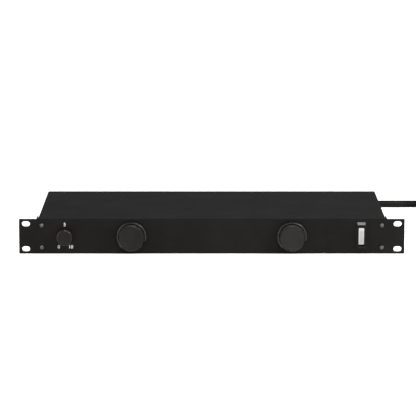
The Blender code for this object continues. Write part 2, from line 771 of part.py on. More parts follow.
def lamp_inner():
    return LAMP_TUBE_RADIUS - LAMP_TUBE_WALL


def window_span():
    start = LAMP_CAP_SPIGOT + WINDOW_START
    return start, SHUTTLE_FRONT - RUN - TUBE_END_WALL - WINDOW_TAIL


def lamp_tube(name, axis):
    """The turning tube, open at its window, with the journal at its back that runs in the shuttle."""
    front = -SEAT - BEZEL_FLOOR
    back = SHUTTLE_FRONT - RUN
    inner = lamp_inner()
    end = SHUTTLE_BACK + RUN
    profile = [
        (inner, front),
        (LAMP_TUBE_RADIUS, front),
        (LAMP_TUBE_RADIUS, back),
        (JOURNAL_RADIUS, back),
        (JOURNAL_RADIUS, end),
        (JOURNAL_RADIUS + JOURNAL_FLANGE_REACH, end),
        (JOURNAL_RADIUS + JOURNAL_FLANGE_REACH, end + JOURNAL_FLANGE),
        (JOURNAL_BORE, end + JOURNAL_FLANGE),
        (JOURNAL_BORE, back - TUBE_END_WALL),
        (inner, back - TUBE_END_WALL),
    ]
    body = link(name, turned(profile, 28), "lamp_tube_black", axis, smooth=35)
    start, stop = window_span()
    half = WINDOW_HALF_WIDTH
    boolean(body, boxes(((-half, start, -LAMP_TUBE_RADIUS - PAST), (half, stop, -inner * 0.6))))


def lamp_cap(name, axis):
    """The round knob on the lamp tube's front: a gripped side and a plain face."""
    grip_start, grip_end = -LAMP_CAP_PROUD + GRIP_START, -BEZEL_PROUD + GRIP_PAST
    radius = LAMP_CAP_RADIUS
    back = -SEAT - BEZEL_FLOOR - SEAT
    face = -LAMP_CAP_PROUD
    spigot = lamp_inner() - SEAT
    profile = [(0.0, face), (radius - LAMP_CAP_EDGE, face)]
    profile += arc((radius - LAMP_CAP_EDGE, face + LAMP_CAP_EDGE), LAMP_CAP_EDGE, -60, 0, 2)
    edge = GRIP_EDGE
    profile += [(radius, grip_start), (radius, grip_start + edge)]
    profile += [(radius, grip_end), (radius, grip_end + edge)]
    profile += [(radius, back - edge), (radius - edge, back), (spigot, back), (spigot, LAMP_CAP_SPIGOT)]
    profile += [(0.0, LAMP_CAP_SPIGOT)]
    steps = 2 * GRIP_RIBS
    bm = turned(profile, steps, closed=False)
    for vert in bm.verts:
        y = vert.co.y
        on_side = abs(math.hypot(vert.co.x, vert.co.z) - radius) < 1e-5
        if on_side and grip_start + edge / 2 < y < grip_end + edge / 2:
            step = round(math.atan2(vert.co.z, vert.co.x) / (2 * math.pi) * steps)
            if step % 2:
                vert.co.x *= 1 - GRIP_DEPTH / radius
                vert.co.z *= 1 - GRIP_DEPTH / radius
    link(name, bm, "knob_black", axis, smooth=25)


def lamp_lens(name, axis):
    """The diffuser strip that fills the lamp tube's window."""
    half = WINDOW_HALF_WIDTH - SEAT
    outer, inner = LAMP_TUBE_RADIUS - LENS_SET_IN, lamp_inner() - LENS_PAST_WALL
    tip = math.degrees(math.asin(half / outer))
    tip_inner = math.degrees(math.asin(half / inner))
    outline = arc((0.0, 0.0), outer, -90 - tip, -90 + tip, 8)
    outline += arc((0.0, 0.0), inner, -90 + tip_inner, -90 - tip_inner, 8)
    start, stop = window_span()
    bm = bmesh.new()
    add_prism(bm, outline, start + SEAT, stop - SEAT)
    link(name, bm, "lens_clear", axis, smooth=35)


def led_board(name, axis):
    """The board in the lamp tube, its LEDs facing the window."""
    top = -LED_BOARD_DROP + LED_BOARD_THICKNESS
    half = math.sqrt((lamp_inner() - LED_BOARD_GAP) ** 2 - LED_BOARD_DROP**2)
    start, stop = window_span()
    low = (-half, start - WINDOW_START / 2, -LED_BOARD_DROP)
    bm = boxes((low, (half, stop + LED_BOARD_TAIL, top)))
    board = link(name, bm, "board_green", axis)
    leds = bmesh.new()
    pitch = (stop - start) / LED_COUNT
    for i in range(LED_COUNT):
        y = start + pitch * (i + 0.5)
        low = (-LED_HALF_WIDTH, y - LED_HALF_LENGTH, -LED_BOARD_DROP - LED_HEIGHT)
        add_box(leds, low, (LED_HALF_WIDTH, y + LED_HALF_LENGTH, -LED_BOARD_DROP + LED_BOARD_GAP))
    boolean(board, leds, "UNION")


def lamp(side_name, x, base):
    axis = guide_empty(f"lamp_{side_name}_axis", (x, 0.0, MIDDLE), base)
    lamp_bezel(f"lamp_{side_name}_bezel", axis)
    lamp_guide(f"lamp_{side_name}_guide", axis)
    lamp_shuttle(f"lamp_{side_name}_shuttle", axis)
    lamp_tube(f"lamp_{side_name}_tube", axis)
    lamp_cap(f"lamp_{side_name}_cap", axis)
    lamp_lens(f"lamp_{side_name}_lens", axis)
    led_board(f"lamp_{side_name}_led_board", axis)


def dimmer(base):
    axis = guide_empty("dimmer_axis", (DIMMER_X, 0.0, MIDDLE), base)
    can = WALL_BACK + SEAT
    nut_front = -SEAT - DIMMER_NUT_THICKNESS
    bore = DIMMER_SHAFT + SEAT
    assert BUSHING_RADIUS - bore >= BUSHING_WALL - SEAT
    profile = [
        (bore, nut_front - BUSHING_PAST_NUT),
        (BUSHING_RADIUS, nut_front - BUSHING_PAST_NUT),
        (BUSHING_RADIUS, can),
        (POT_RADIUS, can),
        (POT_RADIUS, can + POT_DEPTH),
        (POT_RADIUS - POT_RIM, can + POT_DEPTH),
        (POT_RADIUS - POT_RIM, can + POT_DEPTH - POT_RECESS),
        (bore, can + POT_DEPTH - POT_RECESS),
    ]
    pot = link("dimmer_pot", turned(profile, 24), "steel", axis, smooth=35)
    middle = can + POT_DEPTH / 2
    lugs = bmesh.new()
    wide, thick, long = POT_LUG
    for x in (-POT_RADIUS / 2, 0.0, POT_RADIUS / 2):
        low = (x - wide, middle - thick, -POT_RADIUS - long)
        add_box(lugs, low, (x + wide, middle + thick, -POT_RADIUS * 0.8))
    boolean(pot, lugs, "UNION")
    nut = bmesh.new()
    add_prism(nut, hexagon(DIMMER_NUT * 2 / math.sqrt(3)), nut_front, -SEAT)
    nut = link("dimmer_nut", nut, "steel", axis)
    hole = bmesh.new()
    add_cylinder(hole, 0.0, 0.0, BUSHING_RADIUS + SEAT, nut_front - PAST, PAST, 20)
    boolean(nut, hole)
    face = -DIMMER_PROUD
    back = -DIMMER_BACK_GAP
    pocket = DIMMER_NUT * 2 / math.sqrt(3) + RUN
    pocket_end = nut_front - BUSHING_PAST_NUT - SEAT - RUN
    bore_end = face + DIMMER_FACE_WALL
    shaft = [(0.0, bore_end + SEAT), (DIMMER_SHAFT, bore_end + SEAT)]
    shaft_end = can + POT_DEPTH - 1.5 * POT_RECESS
    shaft += [(DIMMER_SHAFT, shaft_end), (0.0, shaft_end)]
    link("dimmer_shaft", turned(shaft, 20, closed=False), "steel", axis, smooth=35)
    knob = [(0.0, face), (DIMMER_RADIUS - DIMMER_ROUND, face)]
    knob += arc((DIMMER_RADIUS - DIMMER_ROUND, face + DIMMER_ROUND), DIMMER_ROUND, -90, 0, 4)[1:]
    knob += [(DIMMER_RADIUS, back), (pocket, back), (pocket, pocket_end), (bore, pocket_end)]
    knob += [(bore, bore_end), (0.0, bore_end)]
    link("dimmer_knob", turned(knob, 32, closed=False), "knob_black", axis, smooth=35)


def power_switch(base):
    z = MIDDLE + SWITCH_LIFT
    mount = guide_empty("switch_mount", (SWITCH_X, 0.0, z), base)
    inner = (SWITCH_HALF_WIDTH, SWITCH_HALF_HEIGHT)
    body = tuple(v + SWITCH_WALL for v in inner)
    flange = (body[0] + SWITCH_FLANGE, body[1] + SWITCH_FLANGE_END)
    rim = tuple(v + SWITCH_RIM for v in inner)
    floor = SWITCH_BODY_DEPTH - SWITCH_FLOOR
    levels = [
        (body, SWITCH_BODY_DEPTH),
        (body, -SEAT),
        (flange, -SEAT),
        (flange, -SWITCH_FLANGE_THICKNESS),
        (rim, -SWITCH_PROUD),
        (inner, -SWITCH_PROUD),
        (inner, floor),
    ]
    corners = ((1, 1), (-1, 1), (-1, -1), (1, -1))
    rings = [[(sx * hx, y, sz * hz) for sx, sz in corners] for (hx, hz), y in levels]
    housing = link("switch_housing", lofted(rings), "switch_black", mount)
    blades = bmesh.new()
    wide, thick, long = SWITCH_BLADE
    for h in (-SWITCH_BLADE_SPACING, 0.0, SWITCH_BLADE_SPACING):
        low = (-wide, SWITCH_BODY_DEPTH - PAST, h - thick)
        add_box(blades, low, (wide, SWITCH_BODY_DEPTH + long, h + thick))
    boolean(housing, blades, "UNION")
    holes = bmesh.new()
    reach = body[0] + PAST
    add_cylinder(holes, PIVOT_DEPTH, 0.0, ROCKER_PIN_RADIUS + SEAT, -reach, reach, 16, along="X")
    boolean(housing, holes)
    pin = bmesh.new()
    add_cylinder(pin, PIVOT_DEPTH, 0.0, ROCKER_PIN_RADIUS, -body[0] + SEAT, body[0] - SEAT, 16, along="X")
    link("rocker_pin", pin, "steel", mount, smooth=35)

    pivot = guide_empty("rocker_pivot", (SWITCH_X, PIVOT_DEPTH, z), base, tilt=ROCKER_TILT)
    front, back = -ROCKER_REACH, -ROCKER_REACH + ROCKER_THICKNESS
    half = ROCKER_HALF_HEIGHT
    edge = ROCKER_EDGE
    lever, foot, tip = ROCKER_LEVER
    upper = [(lever, tip), (back, foot), (back, half), (front + edge, half), (front, half - edge)]
    outline = upper + [(y, -h) for y, h in reversed(upper)]
    width = ROCKER_HALF_WIDTH
    rocker = link(
        "switch_rocker",
        lofted([[(-width, y, h) for y, h in outline], [(width, y, h) for y, h in outline]]),
        "switch_black",
        pivot,
    )
    groove = front + LENS_THICKNESS + SEAT - LENS_PROUD
    reach = LENS_HALF_HEIGHT + SEAT
    side = width + PAST
    cuts = boxes(((-side, front - PAST, -reach), (side, groove, reach)))
    add_cylinder(cuts, 0.0, 0.0, ROCKER_PIN_RADIUS + SEAT, -side, side, 16, along="X")
    boolean(rocker, cuts)
    lens_front = front - LENS_PROUD
    lens_back = lens_front + LENS_THICKNESS
    lens_half = LENS_HALF_HEIGHT
    lens = [(lens_back, lens_half), (lens_front + LENS_EDGE, lens_half)]
    lens += [(lens_front, lens_half - ROCKER_EDGE)]
    lens += [(y, -h) for y, h in lens[::-1]]
    link(
        "switch_lens",
        lofted([[(-width, y, h) for y, h in lens], [(width, y, h) for y, h in lens]]),
        "lens_white",
        pivot,
    )


def outlet(number, base):
    """A grounded outlet that snaps into the rear wall: its flange outside, its body inside."""
    x = OUTLET_FIRST + OUTLET_PITCH * (number - 1)
    face = REAR + SEAT + OUTLET_FLANGE_THICKNESS + OUTLET_PAD_THICKNESS
    shoulder = REAR + SEAT + OUTLET_FLANGE_THICKNESS
    hx, hz = OUTLET_WIDTH / 2, OUTLET_HEIGHT / 2
    body = rounded(hx, hz, OUTLET_EDGE, 1)
    flange = rounded(hx + OUTLET_FLANGE, hz + OUTLET_FLANGE, OUTLET_EDGE, 1)
    pad = rounded(hx - OUTLET_PAD_INSET, hz - OUTLET_PAD_INSET, OUTLET_ROUND, 1)
    levels = [
        (body, REAR + SEAT - OUTLET_DEPTH),
        (body, REAR + SEAT),
        (flange, REAR + SEAT),
        (flange, shoulder),
        (pad, shoulder),
        (pad, face),
    ]
    rings = [ring_at(outline, y, x, REAR_MIDDLE) for outline, y in levels]
    obj = link(f"outlet_{number}", lofted(rings), "outlet_black", base)
    cuts = bmesh.new()
    slot = BLADE_SLOT_HALF_WIDTH
    for side, half in ((-1, NEUTRAL_SLOT_HALF), (1, LINE_SLOT_HALF)):
        mid = x + side * BLADE_SPACING / 2
        z = REAR_MIDDLE + BLADE_RISE
        low = (mid - slot, face - BLADE_SLOT_DEPTH, z - half)
        add_box(cuts, low, (mid + slot, face + PAST, z + half))
    z = REAR_MIDDLE - GROUND_DROP
    wide = GROUND_HALF_WIDTH
    u_shape = [(x - wide, z - GROUND_BELOW), (x + wide, z - GROUND_BELOW)]
    u_shape += arc((x, z + GROUND_ABOVE), wide, 0, 180, 8)
    add_prism(cuts, u_shape, face - GROUND_DEPTH, face + PAST)
    boolean(obj, cuts)


def bus_bars(base):
    back = REAR + SEAT - OUTLET_DEPTH - SEAT
    reach = OUTLET_WIDTH / 2
    for name, step in (("line_bus_bar", 1), ("neutral_bus_bar", 0), ("ground_bus_bar", -1)):
        z = REAR_MIDDLE + step * BUS_STEP
        low = (OUTLET_FIRST - reach, back - BUS_THICKNESS, z - BUS_HEIGHT / 2)
        high = (OUTLET_LAST + reach, back, z + BUS_HEIGHT / 2)
        link(name, boxes((low, high)), "brass", base)


def breaker(base):
    mount = guide_empty("breaker_axis", (BREAKER_X, REAR, REAR_MIDDLE), base)
    inside = -SHEET - SEAT
    bore = BREAKER_BUTTON + SEAT
    profile = [(bore, BREAKER_BUSHING_OUT), (BREAKER_BUSHING, BREAKER_BUSHING_OUT)]
    root = inside - BREAKER_BUSHING_ROOT
    profile += [(BREAKER_BUSHING, root), (bore, root)]
    bushing = turned(profile, 24)
    low = (-BREAKER_HALF_WIDTH, inside - BREAKER_DEPTH, -BREAKER_HALF_HEIGHT)
    case = boxes((low, (BREAKER_HALF_WIDTH, inside, BREAKER_HALF_HEIGHT)))
    body = link("breaker_body", case, "switch_black", mount)
    boolean(body, bushing, "UNION")
    rest = inside - BREAKER_BUTTON_ROOT
    cuts = bmesh.new()
    add_cylinder(cuts, 0.0, 0.0, bore, rest - BREAKER_TRAVEL - 2 * RUN, BREAKER_BUSHING_OUT + PAST, 24)
    boolean(body, cuts)
    back = inside - BREAKER_DEPTH
    blades = bmesh.new()
    wide, thick, long = BREAKER_BLADE
    for h in (-BREAKER_BLADE_SPACING, BREAKER_BLADE_SPACING):
        add_box(blades, (-wide, back - long, h - thick), (wide, back + PAST, h + thick))
    boolean(body, blades, "UNION")
    nut = bmesh.new()
    add_prism(nut, hexagon(BREAKER_NUT * 2 / math.sqrt(3)), SEAT, SEAT + BREAKER_NUT_THICKNESS)
    nut = link("breaker_nut", nut, "steel", mount)
    hole = bmesh.new()
    add_cylinder(hole, 0.0, 0.0, BREAKER_BUSHING + SEAT, -PAST, BREAKER_NUT_THICKNESS + 2 * PAST, 24)
    boolean(nut, hole)
    tip = BREAKER_BUSHING_OUT + BREAKER_BUTTON_OUT
    edge = BREAKER_BUTTON_EDGE
    button = [(0.0, tip), (BREAKER_BUTTON - edge, tip), (BREAKER_BUTTON, tip - edge)]
    button += [(BREAKER_BUTTON, rest), (0.0, rest)]
    link("breaker_button", turned(button, 24, closed=False), "button_white", mount, smooth=35)


def boards(base):
    bottom = SHEET + BOSS_HEIGHT + SEAT
    top = bottom + BOARD_THICKNESS
    half = BOARD_WIDTH / 2
    low = (-half, BOARD_FRONT, bottom)
    link("filter_board", boxes((low, (half, BOARD_FRONT + BOARD_LENGTH, top))), "board_green", base)
    seat = top + SEAT
    low = Vector((-half + SUPPLY_INSET[0], BOARD_FRONT + SUPPLY_INSET[1], seat))
    supply = boxes((low, low + Vector(SUPPLY_SIZE)))
    bmesh.ops.bevel(supply, geom=list(supply.edges), offset=BLOCK_EDGE, segments=1, affect="EDGES")
    link("led_supply", supply, "switch_black", base)
    ring, core = CHOKE_RING, CHOKE_CORE
    section = [(ring + core * math.cos(a), core * math.sin(a)) for a in np.arange(8) * math.pi / 4]
    choke = turned(section, 24)
    centre = (half - CHOKE_INSET[0], BOARD_FRONT + CHOKE_INSET[1], seat + core)
    turn = Matrix.Translation(centre) @ Matrix.Rotation(math.pi / 2, 4, "X")
    bmesh.ops.transform(choke, matrix=turn, verts=choke.verts)
    link("filter_choke", choke, "ferrite_green", base, smooth=60)
    low = Vector((half - CAPACITOR_INSET[0], BOARD_FRONT + CAPACITOR_INSET[1], seat))
    block = boxes((low, low + Vector(CAPACITOR_SIZE)))
    bmesh.ops.bevel(block, geom=list(block.edges), offset=BLOCK_EDGE, segments=1, affect="EDGES")
    link("filter_capacitor", block, "capacitor_yellow", base)


def strain_relief(base):
    """The snap-in relief: a flange each side of the rear wall and a ribbed tail that the cord leaves."""
    mount = guide_empty("relief_mount", (RELIEF_X, REAR, REAR_MIDDLE), base)
    inside = -SHEET - SEAT
    root = inside - RELIEF_ROOT
    barb = RELIEF_RADIUS + RELIEF_BARB
    profile = [(0.0, root), (RELIEF_RADIUS, root), (barb, inside - RELIEF_BARB_LENGTH)]
    profile += [(barb, inside), (RELIEF_RADIUS, inside), (RELIEF_RADIUS, SEAT), (RELIEF_FLANGE, SEAT)]
    edge = RELIEF_FLANGE_EDGE
    start = RELIEF_FLANGE_THICKNESS
    profile += [(RELIEF_FLANGE, start - edge), (RELIEF_FLANGE - edge, start)]
    length = (RELIEF_LENGTH - start) / (2 * RELIEF_RIBS)
    thick, thin = RELIEF_RADIUS + RELIEF_RIB_DEPTH, CORD_DIAMETER / 2 + RELIEF_TIP_WALL
    for i in range(RELIEF_RIBS):
        share = i / (RELIEF_RIBS - 1)
        wide = thick + share * (thin - thick)
        neck = wide - RELIEF_RIB_DEPTH * (1 - 0.6 * share)
        at = start + 2 * length * i
        profile += [(neck, at), (neck, at + length), (wide, at + length), (wide, at + 2 * length)]
    profile += [(0.0, RELIEF_LENGTH)]
    link("strain_relief", turned(profile, 16, closed=False), "cord_black", mount, smooth=40)


def cord_route():
    points = []
    for across, back, share in CORD_ROUTE:
        rise = REAR_MIDDLE - CORD_FLOOR_Z if share > 0 else CORD_FLOOR_Z - COIL_Z
        points.append((RELIEF_X + across, RELIEF_TIP_Y + SEAT + back, CORD_FLOOR_Z + share * rise))
    return points


def coil_points():
    """The stored turns: a spiral inwards on the floor, then outwards on top, with a straight end each way."""
    turns = np.arange(0, COIL_TURNS_ALL + 0.5 / POINTS_A_TURN, 1 / POINTS_A_TURN)
    reverse = COIL_TURNS_IN + 0.25
    radius = COIL_OUTER - COIL_PITCH * (reverse - np.abs(turns - reverse))
    climb = np.clip((turns - COIL_TURNS_IN) / 0.5, 0, 1)
    height = COIL_Z + COIL_PITCH * climb**2 * (3 - 2 * climb)
    x = COIL_CENTRE_X + radius * np.sin(2 * math.pi * turns)
    y = COIL_CENTRE_Y + radius * np.cos(2 * math.pi * turns)
    line = np.stack([x, y, height], axis=1)
    first = line[0] - (CORD_DIAMETER, 0.0, 0.0)
    last = line[-1] - (0.0, CORD_DIAMETER, 0.0)
    return np.vstack([first, line, last])


def least_gap(points, diameter):
    """The smallest space between a tube and itself, from its own points and those between them."""
    line = evenly(points, diameter / 4)
    steps = np.linalg.norm(np.diff(line, axis=0), axis=1).mean()
    apart = math.ceil(2.5 * diameter / steps)
    least = math.inf
    for i in range(len(line) - apart):
        least = min(least, np.linalg.norm(line[i + apart:] - line[i], axis=1).min())
    return least - diameter


def cord():
    free = evenly(smooth_line(cord_route(), 12), 1.6 * CORD_DIAMETER)
    tube("power_cord", free, CORD_DIAMETER / 2, 2, "cord_black")
    turns = coil_points()
    tube("cord_coil", turns, CORD_DIAMETER / 2, 1, "cord_black")
    length = sum(np.linalg.norm(np.diff(p, axis=0), axis=1).sum() for p in (free, turns))
    gap = 1000 * least_gap(turns, CORD_DIAMETER)
    print(f"cord: {length:.3f} m with its coil, whose least gap to itself is {gap:.2f} mm")
    coil_tie()
    plug(turns[-1])


def coil_tie():
    """The strap round the bundle, where the coil's facet lies square to it."""
    angle = 2 * math.pi * TIE_TURN
    inner = COIL_OUTER - COIL_PITCH * COIL_TURNS_IN - CORD_DIAMETER / 2 - TIE_SLACK
    radial = inner, COIL_OUTER + SEAT
    low, high = TIE_THICKNESS + TIE_OFF_FLOOR, COIL_TOP_Z + CORD_DIAMETER / 2 + SEAT
    half = TIE_WIDTH / 2
    thick = TIE_THICKNESS
    mount = guide_empty("tie_mount", (COIL_CENTRE_X, COIL_CENTRE_Y, 0.0))
    mount.rotation_euler = (0.0, 0.0, -angle)
    bm = boxes(((-half, radial[0] - thick, low - thick), (half, radial[1] + thick, high + thick)))
    tie = link("coil_tie", bm, "tie_black", mount)
    boolean(tie, boxes(((-half - PAST, radial[0], low), (half + PAST, radial[1], high))))


def plug(cord_end):
    """The moulded plug beside the coil: a flared boot, the body, two blades and a ground pin."""
    x, start, z = cord_end[0], cord_end[1] - SEAT, cord_end[2]
    mount = guide_empty("plug_mount", (x, start, z))
    half_z = z - PLUG_OFF_FLOOR
    steps = 4
    rings = []
    for wall, share in PLUG_BOOT_WALLS:
        radius = CORD_DIAMETER / 2 + wall
        rings.append(ring_at(rounded(radius, radius, radius * 0.999, steps), -share * PLUG_BOOT))
    inset, shoulder = PLUG_SHOULDER
    end = PLUG_BOOT + PLUG_LENGTH
    body = [(inset, PLUG_BOOT), (0.0, PLUG_BOOT + shoulder), (0.0, end - PLUG_EDGE), (PLUG_EDGE, end)]
    for less, depth in body:
        outline = rounded(PLUG_HALF_WIDTH - less, half_z - less, PLUG_ROUND, steps)
        rings.append(ring_at(outline, -depth))
    shell = link("plug_body", lofted(rings), "cord_black", mount, smooth=35)
    face = -end
    cuts = bmesh.new()
    blades = (("plug_line_blade", -1, LINE_BLADE_HALF), ("plug_neutral_blade", 1, NEUTRAL_BLADE_HALF))
    thick = BLADE_HALF_THICKNESS
    for _, side, half in blades:
        mid = side * BLADE_SPACING / 2
        low = (mid - thick - SEAT, face - PAST, BLADE_ABOVE - half - SEAT)
        high = (mid + thick + SEAT, face + BLADE_ROOT + SEAT, BLADE_ABOVE + half + SEAT)
        add_box(cuts, low, high)
    radius, below = GROUND_PIN_RADIUS, -GROUND_PIN_BELOW
    add_cylinder(cuts, 0.0, below, radius + SEAT, face - PAST, face + BLADE_ROOT + SEAT, 16)
    boolean(shell, cuts)
    for name, side, half in blades:
        mid = side * BLADE_SPACING / 2
        low = (mid - thick, face - BLADE_LENGTH, BLADE_ABOVE - half)
        bm = boxes((low, (mid + thick, face + BLADE_ROOT, BLADE_ABOVE + half)))
        bmesh.ops.bevel(bm, geom=list(bm.edges), offset=BLADE_EDGE, segments=1, affect="EDGES")
        link(name, bm, "brass", mount)
    longer, tip = GROUND_PIN_TIP
    pin_end = face - BLADE_LENGTH - longer
    profile = [(0.0, face + BLADE_ROOT), (radius, face + BLADE_ROOT), (radius, pin_end)]
    profile += [(radius / 2, pin_end - tip * 0.8), (0.0, pin_end - tip)]
    pin = turned(profile, 16, closed=False)
    bmesh.ops.translate(pin, verts=pin.verts, vec=(0.0, 0.0, below))
    link("plug_ground_pin", pin, "brass", mount, smooth=35)


def main():
    clear_scene()
    base = guide_empty("panel_front", (0.0, FRONT_Y, 0.0))
    front_panel(base)
    base_tray(base)
    top_cover(base)
    screws(base)
    lamp("left", -LAMP_X, base)
    lamp("right", LAMP_X, base)
    dimmer(base)
    power_switch(base)
    for number in range(1, OUTLET_COUNT + 1):
        outlet(number, base)
    bus_bars(base)
    breaker(base)
    boards(base)
    strain_relief(base)
    cord()


main()
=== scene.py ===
"""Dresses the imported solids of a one-unit rack power controller and sets the stage for it.

Laid out as an add-on and run as a script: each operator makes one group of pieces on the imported
frame, and main() calls them in order. The front faces -Y, +X is to the right of someone facing
it, and the unit stands on z = 0. Lengths are in metres, but in millimetres where a line says so.
"""

import json
import math

import bmesh
import bpy
import numpy as np
from bpy.props import FloatProperty, FloatVectorProperty, IntProperty, PointerProperty
from mathutils import Matrix, Vector


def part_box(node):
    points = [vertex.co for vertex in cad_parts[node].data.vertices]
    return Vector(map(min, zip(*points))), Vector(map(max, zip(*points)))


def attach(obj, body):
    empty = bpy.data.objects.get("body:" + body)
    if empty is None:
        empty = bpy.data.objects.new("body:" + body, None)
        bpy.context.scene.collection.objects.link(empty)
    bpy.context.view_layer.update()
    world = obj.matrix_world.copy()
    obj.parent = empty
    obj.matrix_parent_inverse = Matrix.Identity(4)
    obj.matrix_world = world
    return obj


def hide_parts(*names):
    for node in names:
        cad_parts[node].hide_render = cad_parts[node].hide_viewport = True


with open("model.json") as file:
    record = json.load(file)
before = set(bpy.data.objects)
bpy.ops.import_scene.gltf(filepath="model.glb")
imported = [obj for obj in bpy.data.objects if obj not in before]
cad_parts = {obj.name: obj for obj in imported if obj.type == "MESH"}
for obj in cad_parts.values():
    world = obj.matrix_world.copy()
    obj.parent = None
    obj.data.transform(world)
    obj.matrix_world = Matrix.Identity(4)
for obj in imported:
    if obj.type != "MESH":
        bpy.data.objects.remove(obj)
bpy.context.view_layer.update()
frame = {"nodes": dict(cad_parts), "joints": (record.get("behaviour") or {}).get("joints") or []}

bl_info = {
    "name": "Rack Power Controller",
    "version": (1, 0, 0),
    "blender": (4, 5, 0),
    "location": "View3D > Sidebar > Rack Unit",
    "description": "Pieces, finishes and stage for a rack power controller with pull-out lamps",
    "category": "Object",
}

MM = 0.001
SIDES = ("left", "right")

# The cord's route, as in the part's source: out of the strain relief and along the floor
CORD_ROUTE = [
    (0.1900, 0.14555, 0.0215),
    (0.1900, 0.15595, 0.0214),
    (0.1900, 0.16795, 0.0205),
    (0.1900, 0.17895, 0.0182),
    (0.1902, 0.18945, 0.0150),
    (0.1916, 0.20195, 0.0113),
    (0.1964, 0.21365, 0.0084),
    (0.2039, 0.22355, 0.0065),
    (0.2138, 0.23105, 0.0054),
    (0.2252, 0.23585, 0.0050),
    (0.2375, 0.23745, 0.0049),
    (0.2540, 0.23755, 0.0049),
    (0.2720, 0.23755, 0.0049),
    (0.2900, 0.23755, 0.0049),
    (0.3100, 0.23755, 0.0050),
    (0.3280, 0.23755, 0.0054),
    (0.3440, 0.23755, 0.0059),
    (0.3581, 0.23755, 0.0060),
]
CORD_DIAMETER = 0.0098
CORD_STEP = 0.004
COIL_CENTRE = (0.368, 0.16075)
COIL_OUTER = 0.0768
COIL_PITCH = 0.0102
COIL_TURNS_IN = 3.5
COIL_TURNS_ALL = 7.25
COIL_POINTS_A_TURN = 72
COIL_LOW_Z = 0.006
TIE_ANGLE = 2 * math.pi * (0.5 + 0.5 / 24)
TIE_RADIAL = (0.0345, 0.0771)
TIE_HEIGHTS = (0.00085, 0.0213)
TIE_WIDTH = 0.016
TIE_THICKNESS = 0.0008

# The camera stands a little left of the middle, and its picture is moved by part of a pixel
CAMERA_X = -0.00546
CAMERA_SHIFT = 0.57 / 416
# Soft lamps: place, width, height and share of the key lamp's power
LAMPS = {
    "key": ((1.2, -0.5, 1.35), 0.6, 0.6, 0.5),
    "top": ((0.15, -0.35, 1.6), 0.8, 0.6, 0.4),
    "left side": ((-1.9, -0.7, 0.95), 1.4, 1.8, 0.7),
    "right side": ((1.9, -0.7, 1.05), 1.4, 2.0, 0.85),
    "strip": ((0.3, -2.6, 1.45), 1.6, 0.35, 0.7),
    "back": ((0.6, 2.2, 1.8), 1.2, 1.2, 0.2),
}
LAMPS_AIM = (0.0, 0.0, 0.02)
FLOOR_SEEN = 0.73

# How far the rocker leans at rest
LENS_SLOPE = math.radians(8.0)
# Sizes in millimetres that more than one function uses
KNOB_BAND = 1.3
BLADE_X = 6.35
BLADE_Z = 4.5
BLADE_HALVES = (4.2, 3.3)


def colour_property(name, description, default):
    return FloatVectorProperty(
        name=name, description=description, default=default, subtype="COLOR", size=3,
        min=0.0, max=1.0,
    )


class RACKUNIT_PG_colours(bpy.types.PropertyGroup):
    """Colours of the finishes, as scene-linear values."""

    panel: colour_property("Panel", "Powder coat of the front panel", (0.0062, 0.0052, 0.0046))
    chassis: colour_property(
        "Chassis", "Powder coat of the cover and the tray", (0.0061, 0.0058, 0.0058)
    )
    knobs: colour_property(
        "Knobs", "Lamp knobs, their rings and the dimmer knob", (0.0026, 0.0024, 0.0022)
    )
    plastic: colour_property(
        "Black plastic", "Switch frame, outlets and breaker", (0.0085, 0.0085, 0.0090)
    )
    switch_lens: colour_property(
        "Switch lens", "Translucent window of the rocker", (0.42, 0.41, 0.41)
    )
    cord: colour_property(
        "Cord", "Rubber jacket of the mains cord and its plug", (0.0026, 0.0025, 0.0025)
    )
    marks: colour_property("Dial numbers", "Printed numbers round the dimmer", (0.78, 0.78, 0.77))


class RACKUNIT_PG_sizes(bpy.types.PropertyGroup):
    """Sizes of the details that the solids leave plain."""

    knurl_columns: IntProperty(
        name="Knurl columns", description="Points of the knurl round a lamp knob",
        min=24, max=160, default=84,
    )
    knurl_rows: IntProperty(
        name="Knurl rows", description="Rows of knurl points along a lamp knob",
        min=2, max=12, default=8,
    )
    knurl_depth: FloatProperty(
        name="Knurl depth", description="Height of a knurl point", unit="LENGTH",
        min=0.0001, max=0.0006, default=0.0004,
    )
    number_height: FloatProperty(
        name="Number height", description="Height of the dial numbers", unit="LENGTH",
        min=0.001, max=0.006, default=0.0041,
    )
    boot_ribs: IntProperty(
        name="Boot ribs", description="Ribs of the plug's boot", min=2, max=10, default=6
    )


class RACKUNIT_PG_stage(bpy.types.PropertyGroup):
    """Camera, lamps and floor."""

    focal_length: FloatProperty(
        name="Focal length", description="Lens of the camera on a 36 mm sensor, in mm",
        min=20.0, max=400.0, default=218.45,
    )
    pitch: FloatProperty(
        name="Pitch", description="How far the camera looks down", subtype="ANGLE",
        default=math.radians(9.797),
    )
    camera_distance: FloatProperty(
        name="Camera distance", description="From the camera to the front panel's plane",
        unit="LENGTH", default=3.1072,
    )
    camera_rise: FloatProperty(
        name="Camera rise", description="Height of the camera above the panel's top",
        unit="LENGTH", default=0.5507,
    )
    key_power: FloatProperty(
        name="Key lamp", description="Power that each lamp has its share of", unit="POWER",
        min=0.0, default=34.0,
    )
    sky_level: FloatProperty(
        name="Sky level", description="Strength of the world's soft light",
        min=0.0, max=1.0, default=0.25,
    )
    floor_colour: colour_property("Floor", "Colour of the floor", (0.80, 0.80, 0.80))


# Shader and geometry trees


def add_node(tree, kind, inputs=None, **settings):
    """A node with its settings made and its inputs filled from values or other nodes' sockets."""
    node = tree.nodes.new(kind)
    for key, value in settings.items():
        setattr(node, key, value)
    for key, value in (inputs or {}).items():
        if isinstance(value, bpy.types.NodeSocket):
            tree.links.new(value, node.inputs[key])
        else:
            node.inputs[key].default_value = value
    return node


def math_node(tree, operation, first, second=0.0, clamp=False):
    values = {0: first, 1: second}
    node = add_node(tree, "ShaderNodeMath", values, operation=operation, use_clamp=clamp)
    return node.outputs[0]


